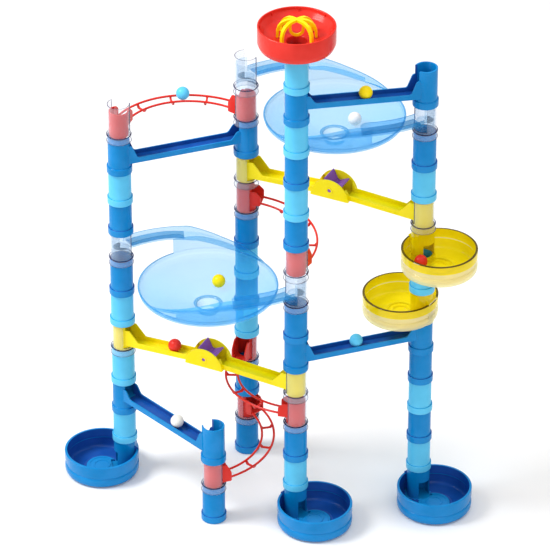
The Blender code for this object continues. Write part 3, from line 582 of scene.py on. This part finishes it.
def outer_wall():
    """Wall on the bowl's rim that carries the arm, from where the arm crosses the rim to the join."""
    half = LONG_LINK / 2
    radius = BOWL_R - BOWL_WALL / 2
    path = []
    sections = []
    for i in range(25):
        azimuth = STEP_AZIMUTH + (ARM_JOIN_AZIMUTH - STEP_AZIMUTH) * i / 24
        path.append(Vector((half + radius * math.cos(azimuth), radius * math.sin(azimuth), 0)))
        top = along(ARM_FLOOR, math.degrees(azimuth)) * MM + FLOOR / 2
        sections.append([(-OUTER_WALL / 2, -BOWL_WALL), (OUTER_WALL / 2, -BOWL_WALL),
                         (OUTER_WALL / 2, top), (-OUTER_WALL / 2, top)])
    return swept(path, sections)


def dish():
    """Conical dish with a low rim, and a ring round the spout in its middle."""
    t = BOWL_WALL
    under = [(BOWL_R + 0.5 * MM, 0), (BOWL_R + 0.5 * MM, -1.6 * MM), (BOWL_R - 0.3 * MM, -1.8 * MM),
             (BOWL_R - 1.0 * MM, -7.0 * MM), (75 * MM, -10.7 * MM), (45 * MM, -20.3 * MM),
             (20 * MM, -27.2 * MM), (14 * MM, -30 * MM), (11.5 * MM, -37 * MM)]
    over = [(11.5 * MM - t, -37 * MM), (13.0 * MM - t, -30 * MM), (13.5 * MM, -26.2 * MM),
            (15.0 * MM, -25.2 * MM),
            (17.0 * MM, -25.6 * MM), (19.5 * MM, -25.3 * MM), (45 * MM, -20.3 * MM + t),
            (74.5 * MM, -10.5 * MM + t), (BOWL_R - t, -5.5 * MM), (BOWL_R - t, 0)]
    return turned(filleted(under + over, 2.0 * MM), sides=128, centre_x=LONG_LINK / 2)


def is_bowl_edge(centre, normal):
    """Tops of the rim and of the walls along the arms, and the ring round the spout, which get a deeper blue
    as painted shade.
    """
    half = LONG_LINK / 2
    x, y = (centre.x, centre.y) if centre.y > 0 else (2 * half - centre.x, -centre.y)
    radius = math.hypot(centre.x - half, centre.y)
    if radius < 60 * MM:
        return 13.0 * MM < radius < 17.4 * MM and centre.z > -27 * MM
    azimuth = math.degrees(math.atan2(y, x - half))
    above_floor = centre.z > along(ARM_FLOOR, azimuth) * MM + FLOOR + 1.2 * MM and azimuth > 64
    on_rim = centre.z > -0.5 * MM and radius > BOWL_R - BOWL_WALL - 0.3 * MM
    return normal.z > 0.6 and (above_floor or on_rim)


def is_bowl_liner(centre, normal):
    """The liners inside the clear modules."""
    from_tower = min(math.hypot(centre.x, centre.y), math.hypot(centre.x - LONG_LINK, centre.y))
    return from_tower < LINER_R + 0.3 * MM


def bowl_mesh():
    middle = Matrix.Translation((LONG_LINK / 2, 0, 0))
    half_turn = middle @ Matrix.Rotation(math.pi, 4, "Z") @ middle.inverted()
    solids = []
    cutters = []
    for turn in (Matrix.Identity(4), half_turn):
        solids += [moved(made, turn) for made in (outer_wall(), arm_solid(), liner())]
        below = liner_bore(top=(ARM_FLOOR[0][1] - 0.3) * MM)
        above = liner_bore(bottom=ARM_FLOOR[0][1] * MM + FLOOR)
        cutters += [moved(made, turn) for made in (arm_channel(), below, above)]
    return finished(painted(cut(add(dish(), *solids), *cutters), [is_bowl_edge, is_bowl_liner]), "bowl")


# ---------------------------------------------------------------- rail

def rail_radius():
    return (SHORT_LINK ** 2 / 4 + RAIL_BULGE ** 2) / (2 * RAIL_BULGE)


def rail_half_angle():
    return math.asin(SHORT_LINK / 2 / rail_radius())


def fitting_turn():
    return rail_half_angle() - (FITTING_REACH - ROD_OVERLAP / 2) / (2 * rail_radius())


def rail_point(angle, offset=0.0):
    radius = rail_radius()
    x = SHORT_LINK / 2 + (radius + offset) * math.sin(angle)
    y = RAIL_BULGE - radius + (radius + offset) * math.cos(angle)
    return Vector((x, y, RAIL_START_Z + (RAIL_FINISH_Z - RAIL_START_Z) * x / SHORT_LINK))


def rod(offset):
    reach = rail_half_angle() - (FITTING_REACH - ROD_OVERLAP) / rail_radius()
    steps = 40
    sides = 10
    section = [(ROD_R * math.cos(2 * math.pi * i / sides), ROD_R * math.sin(2 * math.pi * i / sides))
               for i in range(sides)]
    path = [rail_point(-reach + 2 * reach * i / steps, offset) for i in range(steps + 1)]
    return swept(path, [section] * len(path))


def tie(fraction):
    """U-shaped tie under the rods, at a fraction of the rail's length."""
    outline = [(-8.9, 0.5), (-6.2, -5.3), (6.2, -5.3), (8.9, 0.5),
               (5.9, -0.5), (4.0, -3.5), (-4.0, -3.5), (-5.9, -0.5)]
    angle = rail_half_angle() * (2 * fraction - 1)
    bar = side_prism(filleted([(x * MM, z * MM) for x, z in outline], 1.2 * MM), 1.1 * MM)
    return moved(bar, Matrix.Translation(rail_point(angle)) @ Matrix.Rotation(math.pi / 2 - angle, 4, "Z"))


def fitting(height, blocked):
    """Rail end: a liner with a short cheeked trough; a start also has a floor across its bore."""
    inside = LINER_R / 2
    bottom = height - ROD_R - 2.2 * MM
    floor_top = height - ROD_R + 0.2 * MM
    outline = [(inside, bottom), (FITTING_REACH, bottom), (FITTING_REACH, height + FITTING_CHEEK_END),
               (TUBE_R, CHEEK_TOP), (inside, CHEEK_TOP)]
    past_end = 2 * FITTING_REACH
    channel = [(0, floor_top), (past_end, floor_top), (past_end, ABOVE_ALL), (0, ABOVE_ALL)]
    body = add(liner(), side_prism(filleted(outline, 1.5 * MM), FITTING_HALF_WIDTH))
    bores = [liner_bore(top=bottom), liner_bore(bottom=floor_top)] if blocked else [liner_bore()]
    return cut(body, side_prism(channel, FITTING_CHANNEL), *bores)


def rail_mesh():
    start = moved(fitting(RAIL_START_Z, True), Matrix.Rotation(fitting_turn(), 4, "Z"))
    backwards = Matrix.Rotation(math.pi - fitting_turn(), 4, "Z")
    finish = moved(fitting(RAIL_FINISH_Z, False), Matrix.Translation((SHORT_LINK, 0, 0)) @ backwards)
    ties = [tie(fraction) for fraction in TIE_FRACTIONS]
    body = add(rod(RAIL_GAUGE / 2), start, finish, rod(-RAIL_GAUGE / 2), *ties)
    return finished(body, "rail")


# ---------------------------------------------------------------- cups, funnel, scrambler, marbles

def from_cup_axis(centre):
    return math.hypot(centre.x - CUP_OFFSET, centre.y)


def is_cup_inside(centre, normal):
    """Inner wall and floor of the cup, outside the raised disc in its middle, which get a darker blue as
    painted shade.
    """
    radius = from_cup_axis(centre)
    in_ring = DISC_R - 0.1 * MM < radius < CUP_R - CUP_WALL + 0.3 * MM
    off_stem = math.hypot(centre.x, centre.y) > COLLAR_R + 0.3 * MM
    return in_ring and off_stem and centre.z > CUP_FLOOR - 0.1 * MM and normal.z > -0.1


def is_cup_band(centre, normal):
    """Outer wall above the band's lower line, the whole inside, and the stem."""
    radius = from_cup_axis(centre)
    inner = radius < CUP_R - CUP_WALL + 0.7 * MM and centre.z > CUP_FLOOR - 0.1 * MM and normal.z > -0.1
    outer = radius > CUP_R - 0.6 * MM and centre.z > CUP_BAND_Z
    stem = math.hypot(centre.x, centre.y) < COLLAR_R + 0.3 * MM and radius < CUP_R - 3 * MM
    return inner or outer or stem


def is_cup_edge(centre, normal):
    """Top of the rim, and the small riser of the outer ring on the cup's floor, which get a dark colour as
    painted shade.
    """
    radius = from_cup_axis(centre)
    rim = centre.z > CUP_RIM_Z - 0.6 * MM and radius > CUP_R - CUP_WALL - 0.2 * MM and normal.z > 0.3
    ring = centre.z < CUP_FLOOR + 1.7 * MM and abs(radius - 16.9 * MM) < 0.4 * MM and centre.z > CUP_FLOOR
    return rim or ring


def cup_mesh(on_tower):
    """Cup with low rings in its middle; a base cup's rings stand on a disc, and its stem is closed below."""
    inner_r = CUP_R - CUP_WALL
    disc = CUP_FLOOR if on_tower else CUP_FLOOR + DISC_STEP
    raised = disc + (1.6 if on_tower else 0.5) * MM
    outside = [(0, 0)] + filleted([(20 * MM, 0), (CUP_R, 0), (CUP_R, 15 * MM)], CUP_CORNER, 8)[4:-4]
    outside += [(CUP_R, CUP_BAND_Z), (CUP_R, CUP_RIM_Z - 0.5 * MM),
                (CUP_R - 0.5 * MM, CUP_RIM_Z), (0, CUP_RIM_Z)]
    ring = [(0, disc), (8.4 * MM, disc), (8.6 * MM, raised), (10.2 * MM, raised), (10.4 * MM, disc),
            (14.9 * MM, disc), (15.1 * MM, raised), (16.8 * MM, raised), (17.0 * MM, disc)]
    if not on_tower:
        ring += [(DISC_R - 0.6 * MM, disc), (DISC_R, disc - 0.6 * MM), (DISC_R, CUP_FLOOR)]
    wall = [(20 * MM, CUP_FLOOR), (inner_r, CUP_FLOOR), (inner_r, 20 * MM)]
    wall = filleted(wall, CUP_CORNER - CUP_WALL, 8)[4:-4]
    inside = ring + wall + [(inner_r, ABOVE_ALL), (0, ABOVE_ALL)]
    body = cut(turned(outside, CUP_SIDES, CUP_OFFSET), turned(inside, CUP_SIDES, CUP_OFFSET))
    back = CUP_OFFSET - CUP_R + CUP_WALL / 2
    shoulder = [(back, SHOULDER_BOTTOM), (0, SHOULDER_BOTTOM), (0, SHOULDER_TOP), (-TUBE_R / 2, SHOULDER_TOP),
                (back, CUP_RIM_Z + FLOOR)]
    if on_tower:
        stem = post(0)
        bore = post_bore(0)
        sill = COLLAR_HEIGHT
    else:
        stem = cylinder(TUBE_R, CUP_FLOOR / 2, MODULE_TOP)
        bore = post_bore(0, bottom=CUP_FLOOR)
        sill = CUP_FLOOR
    mouth = [(0, sill), (COLLAR_R + FLOOR, sill), (COLLAR_R + FLOOR, MOUTH_TOP), (0, MOUTH_TOP)]
    add(body, side_prism(shoulder, SHOULDER_HALF_WIDTH), stem)
    cut(body, bore, side_prism(mouth, MOUTH_HALF_WIDTH))
    tests = [is_cup_band, is_cup_edge] if on_tower else [is_cup_inside]
    return finished(painted(body, tests), "cup")


def funnel_mesh():
    profile = [(v[0] * MM, v[1] * MM) for v in (
        (36, 12.6), (42.5, 15.0), (45, 21), (45, 42), (43, 42), (43, 38), (37, 31.5), (11.6, 22.0),
        (11.6, 7.1), (13.9, 7.1), (13.9, 0), (15.2, 0), (15.2, 12.6))]
    body = turned(filleted(profile, 1.2 * MM), CUP_SIDES)
    plan = [(x * MM, y * MM) for x, y in ((41.6, -0.7), (43.6, -0.7), (43.6, 0.7), (41.6, 0.7))]
    ribs = []
    for i in range(FUNNEL_RIBS):
        rib = prism(plan, 35 * MM, 40.5 * MM, upright=True)
        ribs.append(moved(rib, Matrix.Rotation(math.pi * (2 * i + 1) / FUNNEL_RIBS, 4, "Z")))
    return finished(add(body, *ribs), "funnel")


def scrambler_mesh():
    """Flat bands bent into arches that cross at the top, with a narrow loop hung from the crossing."""
    outer = [(x * MM, z * MM) for x, z in SCRAMBLER_ARCH]
    top = outer[-1][1]
    inner = [(x * (1 - SCRAMBLER_BAND / outer[0][0]), z * (1 - SCRAMBLER_BAND / top)) for x, z in outer]
    ring = outer + [(-x, z) for x, z in reversed(outer)] + [(-x, z) for x, z in inner] + inner[::-1]
    ring = filleted(ring, 1.0 * MM)
    turns = [Matrix.Rotation(math.radians(angle), 4, "Z") for angle in SCRAMBLER_DEGREES]
    solids = [moved(side_prism(ring, SCRAMBLER_HALF_WIDTH), turn) for turn in turns]
    bend = LOOP_END_Z + LOOP_R
    eye_r = LOOP_R - SCRAMBLER_BAND
    arc = [math.pi * i / LOOP_STEPS for i in range(LOOP_STEPS + 1)]
    leg_top = top - SCRAMBLER_BAND / 2
    loop = [(LOOP_R, leg_top)] + [(LOOP_R * math.cos(a), bend - LOOP_R * math.sin(a)) for a in arc]
    loop += [(-LOOP_R, leg_top), (-eye_r, leg_top)]
    loop += [(eye_r * math.cos(a), bend - eye_r * math.sin(a)) for a in reversed(arc)]
    loop += [(eye_r, leg_top)]
    hung = moved(side_prism(loop, SCRAMBLER_HALF_WIDTH / 2), turns[0])
    return finished(add(*solids, hung), "scrambler")


def marble_mesh():
    bm = bmesh.new()
    bmesh.ops.create_icosphere(bm, subdivisions=4, radius=MARBLE_R)
    return finished(new_object("marble", bm), "marble")


# ---------------------------------------------------------------- materials

def node_tree(name):
    material = bpy.data.materials.new(name)
    material.use_nodes = True
    nodes = material.node_tree.nodes
    return material, nodes, material.node_tree.links, nodes["Principled BSDF"]


def noise(nodes, links, scale, detail=3.0):
    where = nodes.new("ShaderNodeTexCoord")
    texture = nodes.new("ShaderNodeTexNoise")
    texture.inputs["Scale"].default_value = scale
    texture.inputs["Detail"].default_value = detail
    links.new(where.outputs["Object"], texture.inputs["Vector"])
    return texture


def ramp(nodes, links, source, low, high, start=0.35, end=0.65):
    made = nodes.new("ShaderNodeValToRGB")
    made.color_ramp.elements[0].position = start
    made.color_ramp.elements[1].position = end
    made.color_ramp.elements[0].color = (*low, 1)
    made.color_ramp.elements[1].color = (*high, 1)
    links.new(source, made.inputs["Fac"])
    return made.outputs["Color"]


def spread(nodes, links, source, low, high):
    made = nodes.new("ShaderNodeMapRange")
    made.inputs["To Min"].default_value = low
    made.inputs["To Max"].default_value = high
    links.new(source, made.inputs["Value"])
    return made.outputs["Result"]


def moulded_surface(nodes, links, shader, colour, roughness, variation):
    """Moulded plastic: faint flow marks in the colour, uneven gloss and a fine orange-peel bump."""
    flow = noise(nodes, links, 38.0, 2.0)
    dull = [c * (1 - variation) for c in colour]
    bright = [min(c * (1 + variation) + 0.01, 1) for c in colour]
    links.new(ramp(nodes, links, flow.outputs["Fac"], dull, bright), shader.inputs["Base Color"])
    smears = noise(nodes, links, 150.0)
    gloss = spread(nodes, links, smears.outputs["Fac"], roughness * 0.7, roughness * 1.4)
    links.new(gloss, shader.inputs["Roughness"])
    peel = noise(nodes, links, 900.0, 2.0)
    bump = nodes.new("ShaderNodeBump")
    bump.inputs["Strength"].default_value = 0.06
    bump.inputs["Distance"].default_value = 0.0003
    links.new(peel.outputs["Fac"], bump.inputs["Height"])
    links.new(bump.outputs["Normal"], shader.inputs["Normal"])


def plastic(name, colour, roughness=0.2, variation=0.05):
    material, nodes, links, shader = node_tree(name)
    moulded_surface(nodes, links, shader, colour, roughness, variation)
    shader.inputs["Specular IOR Level"].default_value = 0.2
    shader.inputs["IOR"].default_value = 1.45
    return material


def see_through(name, colour, tint, face, edge, blend=0.3, roughness=0.05):
    """Thin clear plastic: lets light through square on and turns to its own colour where it slants away."""
    material, nodes, links, shader = node_tree(name)
    moulded_surface(nodes, links, shader, colour, roughness, 0.04)
    shader.inputs["IOR"].default_value = 1.45
    window = nodes.new("ShaderNodeBsdfTransparent")
    window.inputs["Color"].default_value = (*tint, 1)
    slope = nodes.new("ShaderNodeLayerWeight")
    slope.inputs["Blend"].default_value = blend
    amount = spread(nodes, links, slope.outputs["Facing"], face, edge)
    mix = nodes.new("ShaderNodeMixShader")
    links.new(amount, mix.inputs["Fac"])
    links.new(window.outputs["BSDF"], mix.inputs[1])
    links.new(shader.outputs["BSDF"], mix.inputs[2])
    links.new(mix.outputs["Shader"], nodes["Material Output"].inputs["Surface"])
    return material


def materials():
    return {
        "dark_blue_plastic": plastic("dark_blue_plastic", (0.0, 0.22, 0.56), 0.2),
        "light_blue_plastic": plastic("light_blue_plastic", (0.10, 0.53, 0.82), 0.22, 0.04),
        # darker copy of the dark blue plastic: painted shade for insides, end rings and cut edges
        "dark_blue_painted_shade": plastic("dark_blue_painted_shade", (0.005, 0.075, 0.36), 0.2),
        # darker copy of the light blue plastic: painted shade on the light tubes' end rings
        "light_blue_painted_shade": plastic("light_blue_painted_shade", (0.0, 0.32, 0.66), 0.2),
        "clear_plastic": see_through("clear_plastic", (0.84, 0.90, 1.0),
                                     (0.975, 0.985, 1.0), 0.07, 0.30, 0.2),
        # nearly black, mostly opaque: painted shade as dark lines on the clear tubes' rims and cut edges
        "clear_painted_shade": see_through("clear_painted_shade", (0.01, 0.01, 0.07), (0.30, 0.33, 0.55), 0.75, 0.95),
        "red_plastic": plastic("red_plastic", (0.70, 0.025, 0.015), 0.2),
        "yellow_plastic": plastic("yellow_plastic", (0.92, 0.73, 0.0), 0.24, 0.03),
        "purple_plastic": plastic("purple_plastic", (0.26, 0.08, 0.38), 0.24),
        "tinted_blue_plastic": see_through("tinted_blue_plastic", (0.04, 0.47, 0.90),
                                           (0.775, 0.895, 0.965), 0.05, 0.62),
        # darker copy of the bowl's tinted plastic: painted shade on its rim, arm wall tops and spout ring
        "bowl_painted_shade": see_through("bowl_painted_shade", (0.02, 0.26, 0.56), (0.45, 0.70, 0.88), 0.40, 0.80),
        "bowl_liner": see_through("bowl_liner", (0.25, 0.62, 0.95), (0.93, 0.97, 1.0), 0.05, 0.30),
        "tinted_yellow_plastic": see_through("tinted_yellow_plastic", (0.94, 0.90, 0.60),
                                             (0.96, 0.93, 0.60), 0.40, 0.72),
        "yellow_band": see_through("yellow_band", (0.92, 0.76, 0.0), (0.95, 0.84, 0.02), 0.55, 0.90),
        # nearly black yellow: painted shade as dark lines on the yellow cups' rims and ring risers
        "yellow_painted_shade": see_through("yellow_painted_shade", (0.06, 0.045, 0.0), (0.40, 0.33, 0.05), 0.60, 0.90),
        "white_plastic": plastic("white_plastic", (0.80, 0.79, 0.76), 0.12, 0.02),
    }


MATERIALS = materials()


# ---------------------------------------------------------------- pieces

def piece(name, mesh, position, angle=0.0, nodes=(), body=ROOT_BODY):
    """One visible piece: a mesh in its material, standing for CAD nodes and riding on a body."""
    obj = bpy.data.objects.new(name, mesh)
    bpy.context.collection.objects.link(obj)
    obj.location = position
    obj.rotation_euler = (0, 0, angle)
    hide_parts(*nodes)
    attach(obj, body)
    return obj


def recoloured(mesh, *names):
    """The mesh in the named materials, one for each painted part; the painted faces keep their places."""
    copy = mesh.copy()
    while len(copy.materials) < len(names):
        copy.materials.append(None)
    for i, name in enumerate(names):
        copy.materials[i] = MATERIALS[name]
    return copy


def slot_of(node):
    for entry in frame["record"]["subparts"]:
        if entry["node"] == node:
            return entry["material_slot"]
    return DARK


def show_plain_tubes():
    # end rings and cut sides of the plain tubes get a darker blue as painted shade
    edges = {DARK: "dark_blue_painted_shade", LIGHT: "light_blue_painted_shade"}
    plain = {slot: recoloured(tube_mesh(TUBE_BORE_R), slot, edge) for slot, edge in edges.items()}
    # colours of the modules in the joined nodes, lowest first
    joined = {"back_tubes_4_to_7": "light dark light dark", "front_tubes_9_to_12": "dark light dark light",
              "right_tubes_1_to_4": "light dark light dark"}
    shades = {"light": LIGHT, "dark": DARK}
    for node in frame["nodes"]:
        if "_tube_" in node and "clear" not in node:
            slot = slot_of(node)
            position = Vector((*centre_of(node).xy, bottom_of(node)))
            piece(node + "_shape", plain[slot], position, nodes=[node])
    for node, colours in joined.items():
        for i, shade in enumerate(colours.split()):
            position = Vector((*centre_of(node).xy, bottom_of(node) + i * PITCH))
            piece(f"{node}_module_{i + 1}", plain[shades[shade]], position, nodes=[node])


def show_clear_tubes():
    arm, turn = arm_heading(), fitting_turn()
    across = link_angle("left", "front")
    openings = {
        "left_clear_tube_11": [link_angle("left", "back") + turn],
        "left_clear_tube_7": [across + arm],
        "left_clear_tube_4": [across],
        "back_clear_tubes_11_12": [link_angle("back", "left") - turn, across + arm],
        "back_clear_tubes_8_9": [link_angle("back", "front") + turn, across],
        "back_clear_tube_3": [link_angle("back", "front") - turn],
        "back_clear_tube_1": [link_angle("back", "short") + turn],
        "front_clear_tubes_7_8": [across + math.pi + arm, link_angle("front", "back") - turn],
        "front_clear_tubes_3_4": [link_angle("front", "back") + turn, across + math.pi],
        "right_clear_tube_12": [across + math.pi + arm],
        "right_clear_tube_9": [across + math.pi],
        "short_clear_tube_1": [link_angle("short", "back") - turn],
    }
    # the clear tubes' end rings and opening sides get dark lines as painted shade
    mesh = recoloured(tube_mesh(CLEAR_BORE_R, 0.0), "clear_plastic", "clear_painted_shade")
    for node, directions in openings.items():
        for i, direction in enumerate(directions):
            position = Vector((*centre_of(node).xy, bottom_of(node) + i * PITCH))
            piece(f"{node}_shape_{i + 1}", mesh, position, direction, [node])


def level_of(node):
    return round(bottom_of(node) / PITCH)


def show_links():
    # floor and inner walls of the chute get a darker blue as painted shade
    chute = recoloured(chute_mesh(), DARK, "dark_blue_painted_shade")
    for node in ("chute_back_to_left", "chute_front_to_right", "chute_right_to_front", "chute_left_to_short"):
        _, start, _, finish = node.split("_")
        piece(node + "_shape", chute, at(start, level_of(node)), link_angle(start, finish), [node])
    rail = recoloured(rail_mesh(), "red_plastic")
    for node in ("rail_left_to_back", "rail_back_to_front", "rail_front_to_back", "rail_back_to_short"):
        _, start, _, finish = node.split("_")
        level = int((bottom_of(node) - LINER_BOTTOM) / PITCH + 0.5)
        piece(node + "_shape", rail, at(start, level), link_angle(start, finish), [node])
    wheel_chute = recoloured(wheel_chute_mesh(), "yellow_plastic")
    rocker = recoloured(rocker_mesh(), "purple_plastic")
    # the bowl's rim, arm wall tops and spout ring get a deeper blue as painted shade
    bowl = recoloured(bowl_mesh(), "tinted_blue_plastic", "bowl_painted_shade", "bowl_liner")
    for start, finish, chute_node, bowl_node in (
        ("left", "front", "wheel_chute_left_front", "bowl_left_front"),
        ("back", "right", "wheel_chute_back_right", "bowl_back_right"),
    ):
        level = int((bottom_of(chute_node) - LINER_BOTTOM) / PITCH + 0.5)
        piece(chute_node + "_shape", wheel_chute, at(start, level), nodes=[chute_node])
        tipping = f"rocker_{start}_{finish}"
        pivot = at(start, level) + Vector((LONG_LINK / 2, 0, ROCKER_Z))
        made = piece(tipping + "_shape", rocker, pivot, nodes=[tipping], body=tipping)
        made.rotation_euler = (0, -ROCKER_TILT, 0)
        level = int((bottom_of(bowl_node) + 40 * MM) / PITCH + 0.5)
        piece(bowl_node + "_shape", bowl, at(start, level), nodes=[bowl_node])


def show_cups():
    # inner wall and outer floor ring of a base cup get a darker blue as painted shade
    base = recoloured(cup_mesh(False), DARK, "dark_blue_painted_shade")
    # a yellow cup's rim and ring riser get a dark colour as painted shade
    held = recoloured(cup_mesh(True), "tinted_yellow_plastic", "yellow_band", "yellow_painted_shade")
    angles = {"base_cup_left": 215.4, "base_cup_front": -10.3, "base_cup_right": -22.9,
              "yellow_cup_upper": -23.0, "yellow_cup_lower": 176.0}
    towers = {"base_cup_left": "left", "base_cup_front": "front"}
    for node, degrees in angles.items():
        tower = towers.get(node, "right")
        yellow = node.startswith("yellow")
        mesh, slot = (held, "tinted_yellow_plastic") if yellow else (base, DARK)
        piece(node + "_shape", mesh, at(tower, level_of(node)), math.radians(degrees), [node])
    top = at("front", level_of("funnel"))
    piece("funnel_shape", recoloured(funnel_mesh(), "red_plastic"), top, nodes=["funnel"])
    foot = Vector((*TOWERS["front"], bottom_of("scrambler")))
    piece("scrambler_shape", recoloured(scrambler_mesh(), "yellow_plastic"), foot,
          nodes=["scrambler"])


def show_marbles():
    mesh = marble_mesh()
    made = {}
    for node in list(frame["nodes"]):
        if not node.startswith("marble"):
            continue
        slot = slot_of(node)
        if slot not in made:
            made[slot] = recoloured(mesh, slot)
        piece(node + "_shape", made[slot], centre_of(node), nodes=[node], body=node)


# ---------------------------------------------------------------- floor, light and camera

def area_light(name, position, target, size, watts):
    data = bpy.data.lights.new(name, "AREA")
    data.shape = "DISK"
    data.size = size
    data.energy = watts
    obj = bpy.data.objects.new(name, data)
    bpy.context.collection.objects.link(obj)
    obj.location = position
    obj.rotation_euler = (Vector(target) - Vector(position)).to_track_quat("-Z", "Y").to_euler()


def studio():
    bm = bmesh.new()
    bmesh.ops.create_grid(bm, x_segments=2, y_segments=2, size=8.0)
    floor = new_object("studio_floor", bm)
    floor.location = (0, 0, -0.0005)
    material, nodes, links, shader = node_tree("pale_floor")
    mottle = noise(nodes, links, 3.0)
    links.new(ramp(nodes, links, mottle.outputs["Fac"], (0.925, 0.92, 0.92), (0.945, 0.94, 0.94)),
              shader.inputs["Base Color"])
    shader.inputs["Roughness"].default_value = 0.6
    shader.inputs["Specular IOR Level"].default_value = 0.2
    floor.data.materials.append(material)
    middle = (0, 0, 0.3)
    area_light("key", (-1.5, -0.9, 2.3), middle, 1.2, 62)
    area_light("fill", (1.6, -1.9, 1.3), middle, 1.8, 12)
    area_light("top", (0.6, 0.2, 2.8), middle, 3.0, 24)
    world = bpy.data.worlds.new("studio")
    bpy.context.scene.world = world
    world.use_nodes = True
    world.node_tree.nodes["Background"].inputs["Color"].default_value = (1.0, 0.985, 0.98, 1)
    world.node_tree.nodes["Background"].inputs["Strength"].default_value = 0.58
    bpy.context.scene.view_settings.view_transform = "Standard"


def camera():
    target = Vector((*TOWERS["left"], 0)) + CAMERA_TARGET
    away = Vector((math.sin(CAMERA_AZIMUTH) * math.cos(CAMERA_ELEVATION),
                   -math.cos(CAMERA_AZIMUTH) * math.cos(CAMERA_ELEVATION),
                   math.sin(CAMERA_ELEVATION)))
    data = bpy.data.cameras.new("camera")
    data.lens = CAMERA_LENS
    data.sensor_width = 36
    data.clip_end = 50
    obj = bpy.data.objects.new("camera", data)
    bpy.context.collection.objects.link(obj)
    obj.location = target + away * CAMERA_DISTANCE
    obj.rotation_euler = (-away).to_track_quat("-Z", "Y").to_euler()
    bpy.context.scene.camera = obj


show_plain_tubes()
show_clear_tubes()
show_links()
show_cups()
show_marbles()
studio()
camera()
